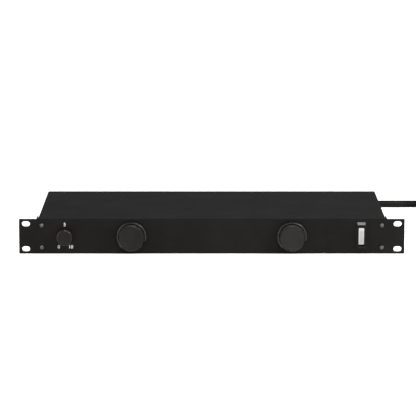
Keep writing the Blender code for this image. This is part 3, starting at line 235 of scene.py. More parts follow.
def vector_node(tree, operation, first, second=(0.0, 0.0, 0.0), output="Vector"):
    node = add_node(tree, "ShaderNodeVectorMath", {0: first, 1: second}, operation=operation)
    return node.outputs[output]


def noise(tree, vector, scale, detail=3.0, roughness=0.5):
    values = {"Vector": vector, "Scale": scale, "Detail": detail, "Roughness": roughness}
    return add_node(tree, "ShaderNodeTexNoise", values).outputs["Fac"]


def ramp(tree, value, low, high, to_low=0.0, to_high=1.0):
    values = {"Value": value, "From Min": low, "From Max": high}
    values |= {"To Min": to_low, "To Max": to_high}
    return add_node(tree, "ShaderNodeMapRange", values, clamp=True).outputs["Result"]


def mixed(tree, factor, first, second):
    values = {0: factor, 6: first, 7: second}
    return add_node(tree, "ShaderNodeMix", values, data_type="RGBA").outputs[2]


def start_group(name, kind, inputs, outputs):
    """An empty node group, with its input and output nodes.

    An input is given by its default value, where None stands for a vector, or by its kind.
    """
    kinds = {float: "Float", int: "Int", tuple: "Color", type(None): "Vector"}
    tree = bpy.data.node_groups.new(name, kind)
    for label, default in inputs.items():
        socket = default if isinstance(default, str) else kinds[type(default)]
        made = tree.interface.new_socket(label, in_out="INPUT", socket_type="NodeSocket" + socket)
        if isinstance(default, (float, int, tuple)):
            made.default_value = default
    for label, socket in outputs.items():
        tree.interface.new_socket(label, in_out="OUTPUT", socket_type="NodeSocket" + socket)
    return tree, tree.nodes.new("NodeGroupInput").outputs, tree.nodes.new("NodeGroupOutput").inputs


GREY = (0.5, 0.5, 0.5, 1.0)


def grain_group(name):
    """Fine pebbling of a powder coat or a moulded skin."""
    inputs = {"Vector": None, "Scale": 1200.0, "Coarseness": 0.35}
    tree, given, made = start_group(name, "ShaderNodeTree", inputs, {"Height": "Float"})
    fine = noise(tree, given["Vector"], given["Scale"], 2.0)
    broad = noise(tree, given["Vector"], math_node(tree, "MULTIPLY", given["Scale"], 0.31), 1.0)
    high = math_node(tree, "MULTIPLY", broad, given["Coarseness"])
    tree.links.new(math_node(tree, "ADD", fine, high), made["Height"])
    return tree


def handling_group(name):
    """Faint smudges and rubbed places: they lift the colour a little and change the gloss."""
    inputs = {"Vector": None, "Colour": GREY, "Roughness": 0.5, "Amount": 0.2, "Scale": 22.0}
    outputs = {"Colour": "Color", "Roughness": "Float"}
    tree, given, made = start_group(name, "ShaderNodeTree", inputs, outputs)
    cloud = ramp(tree, noise(tree, given["Vector"], given["Scale"], 5.0, 0.6), 0.42, 0.66)
    values = {"Vector": given["Vector"], "Scale": (0.25, 1.0, 2.4)}
    stretched = add_node(tree, "ShaderNodeMapping", values).outputs["Vector"]
    finer = math_node(tree, "MULTIPLY", given["Scale"], 9.0)
    streak = ramp(tree, noise(tree, stretched, finer, 4.0, 0.7), 0.55, 0.78)
    marks = math_node(tree, "MAXIMUM", cloud, streak)
    share = math_node(tree, "MULTIPLY", marks, given["Amount"])
    factor = math_node(tree, "MULTIPLY", share, 0.12)
    tree.links.new(mixed(tree, factor, given["Colour"], (0.20, 0.19, 0.18, 1.0)), made["Colour"])
    change = math_node(tree, "MULTIPLY", share, -0.45)
    gloss = math_node(tree, "ADD", given["Roughness"], change, clamp=True)
    tree.links.new(gloss, made["Roughness"])
    return tree


def dust_group(name):
    """Specks of lint and dust that lie on a surface."""
    inputs = {"Vector": None, "Colour": GREY, "Dust Colour": (0.30, 0.29, 0.27, 1.0), "Amount": 0.3}
    tree, given, made = start_group(name, "ShaderNodeTree", inputs, {"Colour": "Color"})
    specks = ramp(tree, noise(tree, given["Vector"], 700.0, 2.0), 0.70, 0.78)
    patches = ramp(tree, noise(tree, given["Vector"], 9.0, 2.0), 0.45, 0.65)
    some = math_node(tree, "MULTIPLY", specks, patches)
    mask = math_node(tree, "MULTIPLY", some, given["Amount"])
    tree.links.new(mixed(tree, mask, given["Colour"], given["Dust Colour"]), made["Colour"])
    return tree


def edge_group(name):
    """Paint rubbed thin along the edges of a box that has the given centre and half sizes."""
    inputs = {
        "Vector": None, "Centre": None, "Half Size": None, "Width": 0.0005, "Colour": GREY,
        "Bare Colour": (0.06, 0.06, 0.06, 1.0), "Amount": 0.2,
    }
    tree, given, made = start_group(name, "ShaderNodeTree", inputs, {"Colour": "Color"})
    away = vector_node(tree, "SUBTRACT", given["Vector"], given["Centre"])
    past = vector_node(tree, "SUBTRACT", vector_node(tree, "ABSOLUTE", away), given["Half Size"])
    inside = add_node(tree, "ShaderNodeSeparateXYZ", {0: past}).outputs
    start = math_node(tree, "MULTIPLY", given["Width"], -1.0)
    near = [ramp(tree, depth, start, 0.0) for depth in inside]
    total = math_node(tree, "ADD", math_node(tree, "ADD", near[0], near[1]), near[2])
    edge = math_node(tree, "SUBTRACT", total, 1.0, clamp=True)
    broken = ramp(tree, noise(tree, given["Vector"], 160.0, 4.0, 0.65), 0.50, 0.68)
    rubbed = math_node(tree, "MULTIPLY", edge, broken)
    mask = math_node(tree, "MULTIPLY", rubbed, given["Amount"])
    tree.links.new(mixed(tree, mask, given["Colour"], given["Bare Colour"]), made["Colour"])
    return tree


def lathe_group(name):
    """The fine rings that a turning tool leaves, round an axis along Y through the centre."""
    inputs = {"Vector": None, "Centre": None, "Pitch": 0.00025}
    tree, given, made = start_group(name, "ShaderNodeTree", inputs, {"Height": "Float"})
    away = vector_node(tree, "SUBTRACT", given["Vector"], given["Centre"])
    flat = vector_node(tree, "MULTIPLY", away, (1.0, 0.0, 1.0))
    radius = vector_node(tree, "LENGTH", flat, output="Value")
    turns = math_node(tree, "DIVIDE", radius, given["Pitch"])
    wave = math_node(tree, "SINE", math_node(tree, "MULTIPLY", turns, 2 * math.pi))
    along = add_node(tree, "ShaderNodeCombineXYZ", {"X": turns}).outputs[0]
    uneven = noise(tree, along, 0.37, 2.0)
    tree.links.new(math_node(tree, "MULTIPLY", wave, uneven), made["Height"])
    return tree


def dull_shaded_top_group(name):
    """Painted shade on the top above the given height: the colour goes nearly black and the surface
    fully rough.
    """
    inputs = {"Vector": None, "Height": 0.04, "Colour": GREY, "Roughness": 0.5}
    outputs = {"Colour": "Color", "Roughness": "Float"}
    tree, given, made = start_group(name, "ShaderNodeTree", inputs, outputs)
    height = add_node(tree, "ShaderNodeSeparateXYZ", {0: given["Vector"]}).outputs["Z"]
    above = math_node(tree, "GREATER_THAN", height, given["Height"])
    # Painted shade: above the height the colour is mixed to near black
    dull = mixed(tree, above, given["Colour"], (0.004, 0.004, 0.004, 1.0))
    tree.links.new(dull, made["Colour"])
    tree.links.new(math_node(tree, "MAXIMUM", given["Roughness"], above), made["Roughness"])
    return tree


GROUP_MAKERS = {
    "Surface Grain": grain_group,
    "Handling Marks": handling_group,
    "Settled Dust": dust_group,
    "Edge Rub": edge_group,
    "Turning Rings": lathe_group,
    "Dull Top": dull_shaded_top_group,
}


def group_node(tree, name, values):
    """A node that holds one of the shared effects, which is made on first use."""
    group = bpy.data.node_groups.get(name) or GROUP_MAKERS[name](name)
    return add_node(tree, "ShaderNodeGroup", values, node_tree=group)


def rgba(colour):
    return (*tuple(colour)[:3], 1.0)


def finish(
    name, colour, roughness, scale=1200.0, pebble=0.02, metallic=0.0, specular=0.5, marks=0.3,
    dust=0.15, rub=None, rings=None, coat=0.0, glow=None, sheen=0.0, tint=(1.0, 1.0, 1.0),
    dull_shaded_above=None,
):
    """A procedural finish: pebbles (height in mm), smudges and dust, rubbed edges or tool rings."""
    material = bpy.data.materials.get(name)
    if material:
        return material
    material = bpy.data.materials.new(name)
    material.use_nodes = True
    tree = material.node_tree
    shader = tree.nodes["Principled BSDF"]
    place = add_node(tree, "ShaderNodeTexCoord").outputs["Object"]
    values = {"Vector": place, "Colour": rgba(colour), "Roughness": roughness, "Amount": marks}
    touched = group_node(tree, "Handling Marks", values).outputs
    shade, gloss = touched["Colour"], touched["Roughness"]
    if rub:
        low, high = rub
        values = {"Vector": place, "Centre": (low + high) / 2, "Half Size": (high - low) / 2}
        shade = group_node(tree, "Edge Rub", {**values, "Colour": shade}).outputs["Colour"]
    # Painted shade on the top: darkened and dulled above a height
    if dull_shaded_above:
        values = {"Vector": place, "Height": dull_shaded_above, "Colour": shade, "Roughness": gloss}
        dull = group_node(tree, "Dull Top", values).outputs
        shade, gloss = dull["Colour"], dull["Roughness"]
    if dust:
        values = {"Vector": place, "Colour": shade, "Amount": dust}
        shade = group_node(tree, "Settled Dust", values).outputs["Colour"]
    tree.links.new(shade, shader.inputs["Base Color"])
    tree.links.new(gloss, shader.inputs["Roughness"])
    grain = group_node(tree, "Surface Grain", {"Vector": place, "Scale": scale})
    height = grain.outputs["Height"]
    if rings:
        centre, pitch = rings
        values = {"Vector": place, "Centre": centre, "Pitch": pitch}
        turned = group_node(tree, "Turning Rings", values).outputs["Height"]
        height = math_node(tree, "ADD", math_node(tree, "MULTIPLY", height, 0.5), turned)
    values = {"Height": height, "Distance": pebble * MM, "Strength": 0.6}
    bump = add_node(tree, "ShaderNodeBump", values)
    tree.links.new(bump.outputs["Normal"], shader.inputs["Normal"])
    for socket, value in (
        ("Metallic", metallic), ("Specular IOR Level", specular), ("Coat Weight", coat),
        ("Coat Roughness", 0.25), ("Sheen Weight", sheen), ("Specular Tint", rgba(tint)),
    ):
        shader.inputs[socket].default_value = value
    if glow:
        shader.inputs["Emission Color"].default_value = rgba(glow[0])
        shader.inputs["Emission Strength"].default_value = glow[1]
    material.diffuse_color = rgba(colour)
    return material


# Meshes


def arc(centre, radius, start, end, steps):
    """Points of an arc given in degrees."""
    angles = [math.radians(start + (end - start) * i / steps) for i in range(steps + 1)]
    return [(centre[0] + radius * math.cos(a), centre[1] + radius * math.sin(a)) for a in angles]


def rounded(half_x, half_z, radius, steps=6):
    """The outline of a rectangle with rounded corners."""
    points = []
    for k, (sx, sz) in enumerate([(1, 1), (-1, 1), (-1, -1), (1, -1)]):
        corner = (sx * (half_x - radius), sz * (half_z - radius))
        points += arc(corner, radius, 90 * k, 90 * k + 90, steps)
    return points


def add_rings(bm, rings, closed=False):
    """Faces through rings of as many points each, capped unless the last ring meets the first."""
    rows = [[bm.verts.new(point) for point in ring] for ring in rings]
    pairs = list(zip(rows, rows[1:]))
    if closed:
        pairs.append((rows[-1], rows[0]))
    for near, far in pairs:
        for i, vert in enumerate(near):
            after = (i + 1) % len(near)
            bm.faces.new((vert, near[after], far[after], far[i]))
    if not closed:
        bm.faces.new(rows[0][::-1])
        bm.faces.new(rows[-1])


def add_levels(bm, levels, closed=False, place=Matrix()):
    """A solid through outlines in X and Z, each at its depth along Y, all in mm."""
    rings = [[place @ Vector((x * MM, y * MM, z * MM)) for x, z in ring] for ring, y in levels]
    add_rings(bm, rings, closed)


def add_turned(bm, profile, steps, centre, closed=False):
    """A solid turned about Y through the centre from (radius, depth) points in mm."""
    angles = np.arange(steps) * 2 * math.pi / steps
    rows = []
    for radius, depth in profile:
        radius, depth = radius * MM, depth * MM
        if radius < 1e-7:
            rows.append([bm.verts.new(centre + Vector((0.0, depth, 0.0)))])
        else:
            ring = [Vector((radius * math.cos(a), depth, radius * math.sin(a))) for a in angles]
            rows.append([bm.verts.new(centre + point) for point in ring])
    pairs = list(zip(rows, rows[1:]))
    if closed:
        pairs.append((rows[-1], rows[0]))
    for near, far in pairs:
        for i in range(steps):
            j = (i + 1) % steps
            spots = ((near, i), (near, j), (far, j), (far, i))
            corners = list(dict.fromkeys(row[k % len(row)] for row, k in spots))
            if len(corners) > 2:
                bm.faces.new(corners)


def add_block(bm, low, high, edge=0.0):
    """A block between two corners, with its edges rounded by a width, all in mm."""
    low, high = Vector(low) * MM, Vector(high) * MM
    place = Matrix.Translation((low + high) / 2) @ Matrix.Diagonal((*(high - low), 1.0))
    verts = bmesh.ops.create_cube(bm, size=1.0, matrix=place)["verts"]
    if edge:
        edges = list({e for v in verts for e in v.link_edges})
        width = edge * MM
        bmesh.ops.bevel(bm, geom=edges, offset=width, segments=2, affect="EDGES", profile=0.5)


def axis_point(node, depth):
    """The point at the given depth on the axis along Y through a node's middle."""
    low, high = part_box(node)
    return Vector(((low.x + high.x) / 2, depth, (low.z + high.z) / 2))


def depths(node, centre):
    """Radius, front and back of a round node as seen from the centre, in mm."""
    low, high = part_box(node)
    return (high.x - low.x) / 2 / MM, (low.y - centre.y) / MM, (high.y - centre.y) / MM


def from_axis(spot, centre):
    """A place as seen from the centre in mm, and its distance from the axis along Y."""
    spot = (spot - centre) / MM
    return spot, math.hypot(spot.x, spot.z)


def settle(obj, body, replaces=()):
    """Put a finished piece on its body."""
    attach(obj, body)
    if replaces:
        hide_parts(*replaces)
    return obj


def add_object(name, data):
    obj = bpy.data.objects.new(name, data)
    bpy.context.scene.collection.objects.link(obj)
    return obj


def smoothed(mesh, angle):
    mesh.shade_smooth()
    mesh.set_sharp_from_angle(angle=math.radians(angle))


def as_object(name, bm, *materials, smooth=35.0):
    """The finished mesh as an object, with its faces turned outwards."""
    bmesh.ops.remove_doubles(bm, verts=bm.verts, dist=1e-7)
    bmesh.ops.recalc_face_normals(bm, faces=bm.faces)
    mesh = bpy.data.meshes.new(name)
    bm.to_mesh(mesh)
    bm.free()
    smoothed(mesh, smooth)
    for material in materials:
        mesh.materials.append(material)
    return add_object(name, mesh)


def bake_modifiers(obj):
    """Turn what the modifiers make into the object's plain mesh, and take the modifiers off."""
    evaluated = obj.evaluated_get(bpy.context.evaluated_depsgraph_get())
    mesh = bpy.data.meshes.new_from_object(evaluated)
    obj.modifiers.clear()
    obj.data = mesh
    return obj


def carve(obj, bm):
    """Cut the tool's shape out of the object."""
    bmesh.ops.recalc_face_normals(bm, faces=bm.faces)
    tool = as_object(obj.name + "_tool", bm)
    cut = obj.modifiers.new("cut", "BOOLEAN")
    cut.operation = "DIFFERENCE"
    cut.solver = "EXACT"
    cut.object = tool
    bake_modifiers(obj)
    bpy.data.objects.remove(tool)
    smoothed(obj.data, 35.0)
    return obj


def softened(node, name, width, *materials, move):
    """A copy of a node's solid with its corners moved by a function and its edges rounded off."""
    obj = add_object(name, frame["nodes"][node].data.copy())
    for vert in obj.data.vertices:
        move(vert.co)
    bevel = obj.modifiers.new("bevel", "BEVEL")
    bevel.width = width
    bevel.segments = 3
    bevel.limit_method = "ANGLE"
    bevel.angle_limit = math.radians(25.0)
    bevel.harden_normals = True
    bake_modifiers(obj)
    obj.data.materials.clear()
    for material in materials:
        obj.data.materials.append(material)
    return obj


# Geometry Nodes for what repeats


def end_tree(tree, copies, given, made):
    """Make the copies real and give them their finish."""
    values = {"Geometry": copies.outputs["Instances"]}
    real = add_node(tree, "GeometryNodeRealizeInstances", values)
    values = {"Geometry": real.outputs["Geometry"], "Material": given["Finish"]}
    done = add_node(tree, "GeometryNodeSetMaterial", values)
    tree.links.new(done.outputs["Geometry"], made["Geometry"])
    return tree


def placed_copies_tree():
    """Copies of a template at the points of a mesh, each turned by the point's own angles."""
    name = "Copies At Points"
    if name in bpy.data.node_groups:
        return bpy.data.node_groups[name]
    inputs = {"Points": "Geometry", "Template": "Object", "Size": 1.0, "Finish": "Material"}
    tree, given, made = start_group(name, "GeometryNodeTree", inputs, {"Geometry": "Geometry"})
    source = add_node(tree, "GeometryNodeObjectInfo", {"Object": given["Template"]})
    kind = "GeometryNodeInputNamedAttribute"
    turn = add_node(tree, kind, {"Name": "turn"}, data_type="FLOAT_VECTOR")
    values = {
        "Points": given["Points"],
        "Instance": source.outputs["Geometry"],
        "Rotation": turn.outputs["Attribute"],
        "Scale": given["Size"],
    }
    return end_tree(tree, add_node(tree, "GeometryNodeInstanceOnPoints", values), given, made)


def knurl_tree():
    """Points of a knurl in staggered rows round an axis along Y."""
    name = "Knurl"
    if name in bpy.data.node_groups:
        return bpy.data.node_groups[name]
    inputs = {
        "Geometry": "Geometry", "Template": "Object", "Columns": 84, "Rows": 8, "Radius": 0.0155,
        "Row Pitch": 0.001, "Centre": None, "Finish": "Material",
    }
    tree, given, made = start_group(name, "GeometryNodeTree", inputs, {"Geometry": "Geometry"})
    count = math_node(tree, "MULTIPLY", given["Columns"], given["Rows"])
    line = add_node(tree, "GeometryNodeMeshLine", {"Count": count})
    index = tree.nodes.new("GeometryNodeInputIndex").outputs[0]
    share = math_node(tree, "DIVIDE", math_node(tree, "ADD", index, 0.5), given["Columns"])
    row = math_node(tree, "FLOOR", share)
    column = math_node(tree, "ADD", index, math_node(tree, "MULTIPLY", row, 0.5))
    share = math_node(tree, "DIVIDE", column, given["Columns"])
    turn = math_node(tree, "MULTIPLY", share, 2 * math.pi)
    across = math_node(tree, "MULTIPLY", math_node(tree, "COSINE", turn), given["Radius"])
    up = math_node(tree, "MULTIPLY", math_node(tree, "SINE", turn), given["Radius"])
    along = math_node(tree, "MULTIPLY", row, given["Row Pitch"])
    values = {"X": across, "Y": along, "Z": up}
    point = add_node(tree, "ShaderNodeCombineXYZ", values).outputs[0]
    spot = vector_node(tree, "ADD", point, given["Centre"])
    values = {"Geometry": line.outputs["Mesh"], "Position": spot}
    placed = add_node(tree, "GeometryNodeSetPosition", values)
    back = math_node(tree, "MULTIPLY", turn, -1.0)
    source = add_node(tree, "GeometryNodeObjectInfo", {"Object": given["Template"]})
    values = {
        "Points": placed.outputs["Geometry"],
        "Instance": source.outputs["Geometry"],
        "Rotation": add_node(tree, "ShaderNodeCombineXYZ", {"Y": back}).outputs[0],
    }
    return end_tree(tree, add_node(tree, "GeometryNodeInstanceOnPoints", values), given, made)


def run_tree(obj, tree, values):
    """Give the object the tree with these named inputs, and keep the result as its plain mesh."""
    modifier = obj.modifiers.new(tree.name, "NODES")
    modifier.node_group = tree
    for item in tree.interface.items_tree:
        if item.item_type == "SOCKET" and item.in_out == "INPUT" and item.name in values:
            modifier[item.identifier] = values[item.name]
    return bake_modifiers(obj)


def copies_at(name, template, places, material, turns=None):
    """One mesh that holds the template at each place; the template is removed."""
    mesh = bpy.data.meshes.new(name)
    mesh.from_pydata([tuple(p) for p in places], [], [])
    turned = mesh.attributes.new("turn", "FLOAT_VECTOR", "POINT")
    for item, turn in zip(turned.data, turns or [(0.0, 0.0, 0.0)] * len(places)):
        item.vector = turn
    obj = add_object(name, mesh)
    run_tree(obj, placed_copies_tree(), {"Template": template, "Size": 1.0, "Finish": material})
    bpy.data.objects.remove(template)
    return obj


# Finishes by name


def paint(name):
    """One of the unit's finishes, made on first use."""
    colours = bpy.context.scene.rackunit_colours
    plastic, lens = colours.plastic, colours.switch_lens
    panel_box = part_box("front_panel")
    # Colour, roughness, scale and height (mm) of the pebbles, marks, dust, and what differs
    recipes = {
        "panel powder coat": (
            colours.panel, 0.62, 1500, 0.03, 0.12, 0.10,
            # The panel's top face is painted darker as shade
            {"specular": 0.075, "rub": panel_box, "dull_shaded_above": panel_box[1].z - 0.5 * MM},
        ),
        "chassis powder coat": (
            colours.chassis, 0.8, 1100, 0.04, 0.05, 0.15,
            {"specular": 0.02, "rub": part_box("top_cover")},
        ),
        "black screw": ((0.07, 0.068, 0.065), 0.2, 2600, 0.01, 0.3, 0.1, {"metallic": 1.0}),
        "black plastic": (plastic, 0.34, 1700, 0.02, 0.2, 0.1, {"specular": 0.3}),
        "switch frame": (
            plastic, 0.24, 1700, 0.01, 0.15, 0.05, {"specular": 0.22, "tint": (0.92, 1.0, 1.05)},
        ),
        "switch frame gloss": (plastic, 0.2, 1700, 0.01, 0.15, 0.05, {"specular": 0.3}),
        "switch frame matt": (plastic, 0.6, 1700, 0.02, 0.15, 0.05, {"specular": 0.06}),
        "black anodised tube": (
            (0.030, 0.030, 0.032), 0.36, 2400, 0.01, 0.35, 0.1, {"metallic": 0.6},
        ),
        "frosted lamp lens": (
            (0.86, 0.86, 0.82), 0.55, 900, 0.05, 0.1, 0.05, {"glow": ((1.0, 0.93, 0.80), 0.35)},
        ),
        "lamp chip": (
            (0.85, 0.66, 0.20), 0.4, 3000, 0.01, 0.0, 0.0, {"glow": ((1.0, 0.86, 0.55), 0.6)},
        ),
        # Painted highlight: the border is lighter than the core, which is the same white at two
        # thirds
        "lens border": (
            lens, 0.35, 900, 0.02, 0.05, 0.0,
            {"specular": 0.2, "glow": ((1.0, 0.98, 0.97), 0.19)},
        ),
        "lens core": (
            [v * 0.66 for v in lens], 0.45, 700, 0.05, 0.05, 0.0,
            {"glow": ((1.0, 0.975, 0.985), 0.17)},
        ),
        "nickel": ((0.60, 0.59, 0.56), 0.28, 2600, 0.01, 0.4, 0.1, {"metallic": 1.0}),
        "brass": ((0.72, 0.52, 0.22), 0.30, 2600, 0.01, 0.5, 0.0, {"metallic": 1.0}),
        "circuit board": ((0.020, 0.105, 0.045), 0.38, 900, 0.03, 0.2, 0.1, {"coat": 0.3}),
        "coated ferrite": ((0.06, 0.16, 0.08), 0.6, 800, 0.08, 0.3, 0.15, {}),
        "capacitor case": ((0.66, 0.47, 0.06), 0.45, 1200, 0.03, 0.3, 0.15, {}),
        "white button": ((0.70, 0.69, 0.64), 0.38, 1500, 0.02, 0.3, 0.15, {}),
        "cord rubber": (colours.cord, 0.5, 900, 0.01, 0.3, 0.1, {"specular": 0.0, "coat": 0.1}),
        "moulded rubber": (colours.cord, 0.45, 1400, 0.05, 0.4, 0.15, {"specular": 0.25}),
        "hook-and-loop strap": (
            (0.013, 0.013, 0.014), 0.9, 1900, 0.25, 0.2, 0.35, {"specular": 0.2, "sheen": 0.25},
        ),
        "printed mark": (colours.marks, 0.6, 2000, 0.01, 0.1, 0.05, {}),
    }
    colour, roughness, scale, pebble, marks, dust, rest = recipes[name]
    return finish(name, colour, roughness, scale, pebble, marks=marks, dust=dust, **rest)


def turned_finish(name, place, roughness, specular, lift=1.0, tint=(1.06, 1.0, 0.95)):
    """The knobs' black, lifted by a factor, with turning rings round one piece's own axis."""
    return finish(
        name, [v * lift for v in bpy.context.scene.rackunit_colours.knobs], roughness, 2200, 0.004,
        specular=specular, marks=0.2, dust=0.06, rings=(place, 0.22 * MM), tint=tint,
    )


def dress(finish_name, *nodes):
    """Give CAD nodes that keep their shape a finish."""
    material = paint(finish_name)
    for node in nodes:
        obj = frame["nodes"][node]
        if not obj.material_slots:
            obj.data.materials.append(material)
        for slot in obj.material_slots:
            slot.material = material


class RACKUNIT_OT_stage(bpy.types.Operator):
    """Set the camera, the soft lamps, the sky and the floor"""

    bl_idname = "rackunit.stage"
    bl_label = "Stage"

    def execute(self, context):
        scene = context.scene
        values = scene.rackunit_stage
        scene.view_settings.view_transform = "Standard"
        low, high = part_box("front_panel")
        lens = bpy.data.cameras.new("camera")
        lens.sensor_width = 36.0
        lens.lens = values.focal_length
        lens.shift_x = CAMERA_SHIFT
        lens.clip_end = 100.0
        camera = add_object("camera", lens)
        camera.location = (CAMERA_X, low.y - values.camera_distance, high.z + values.camera_rise)
        camera.rotation_euler = (math.pi / 2 - values.pitch, 0.0, 0.0)
        scene.camera = camera
        for name, (place, width, height, share) in LAMPS.items():
            data = bpy.data.lights.new(name, "AREA")
            data.shape = "RECTANGLE"
            data.size, data.size_y = width, height
            data.energy = values.key_power * share
            lamp = add_object(name, data)
            lamp.location = place
            aim = Vector(LAMPS_AIM) - Vector(place)
            lamp.rotation_euler = aim.to_track_quat("-Z", "Y").to_euler()
        self.sky(scene, values.sky_level)
        self.floor(values.floor_colour)
        return {"FINISHED"}

    def seen(self, tree):
        """1 for rays that show the background: straight, in a reflection or through glass."""
        path = tree.nodes.new("ShaderNodeLightPath").outputs
        some = math_node(tree, "ADD", path["Is Camera Ray"], path["Is Glossy Ray"])
        return math_node(tree, "ADD", some, path["Is Transmission Ray"], clamp=True)

    def sky(self, scene, level):
        world = bpy.data.worlds.new("soft sky")
        scene.world = world
        world.use_nodes = True
        tree = world.node_tree
        back = tree.nodes["Background"]
        back.inputs["Color"].default_value = (1.0, 1.0, 1.0, 1.0)
        strength = ramp(tree, self.seen(tree), 0.0, 1.0, level, 1.0)
        tree.links.new(strength, back.inputs["Strength"])

    def floor(self, colour):
        bm = bmesh.new()
        bmesh.ops.create_grid(bm, x_segments=1, y_segments=1, size=12.0)
        bmesh.ops.translate(bm, verts=bm.verts, vec=(0.0, 0.0, -0.1 * MM))
        material = bpy.data.materials.new("pale floor")
        material.use_nodes = True
        tree = material.node_tree
        shader = tree.nodes["Principled BSDF"]
        place = add_node(tree, "ShaderNodeTexCoord").outputs["Object"]
        uneven = ramp(tree, noise(tree, place, 3.0), 0.3, 0.7)
        shade = mixed(tree, uneven, rgba(colour), rgba([v * 0.985 for v in colour]))
        tree.links.new(shade, shader.inputs["Base Color"])
        shader.inputs["Roughness"].default_value = 0.9
        shader.inputs["Specular IOR Level"].default_value = 0.1
        shader.inputs["Emission Color"].default_value = (1.0, 1.0, 1.0, 1.0)
        glow = ramp(tree, self.seen(tree), 0.0, 1.0, 0.0, FLOOR_SEEN)
        tree.links.new(glow, shader.inputs["Emission Strength"])
        floor = as_object("floor", bm, material)


def smooth_line(points, parts):
    """A Catmull-Rom curve through the points, as in the part's source."""
    p = np.array(points, float)
    p = np.vstack([2 * p[0] - p[1], p, 2 * p[-1] - p[-2]])
    line = []
    for a, b, c, d in zip(p, p[1:], p[2:], p[3:]):
        square, cube = 2 * a - 5 * b + 4 * c - d, 3 * b - a - 3 * c + d
        for t in np.arange(parts) / parts:
            line.append(0.5 * (2 * b + (c - a) * t + square * t**2 + cube * t**3))
    line.append(p[-2])
    return np.array(line)


def evenly(line, step):
    """Points along the line, about a step apart."""
    along = np.concatenate([[0.0], np.cumsum(np.linalg.norm(np.diff(line, axis=0), axis=1))])
    wanted = np.linspace(0.0, along[-1], max(2, round(along[-1] / step) + 1))
    return np.stack([np.interp(wanted, along, line[:, k]) for k in range(3)], axis=1)


def coil_line(points_a_turn):
    """The coil's centreline, spiralling in on the floor and out again on top."""
    turns = np.arange(0, COIL_TURNS_ALL + 0.5 / points_a_turn, 1 / points_a_turn)
    reverse = COIL_TURNS_IN + 0.25
    radius = COIL_OUTER - COIL_PITCH * (reverse - np.abs(turns - reverse))
    climb = np.clip((turns - COIL_TURNS_IN) / 0.5, 0, 1)
    height = COIL_LOW_Z + COIL_PITCH * climb**2 * (3 - 2 * climb)
    x = COIL_CENTRE[0] + radius * np.sin(2 * math.pi * turns)
    y = COIL_CENTRE[1] + radius * np.cos(2 * math.pi * turns)
    line = np.stack([x, y, height], axis=1)
    start, end = line[0] - (CORD_DIAMETER, 0.0, 0.0), line[-1] - (0.0, CORD_DIAMETER, 0.0)
    return np.vstack([start, line, end])


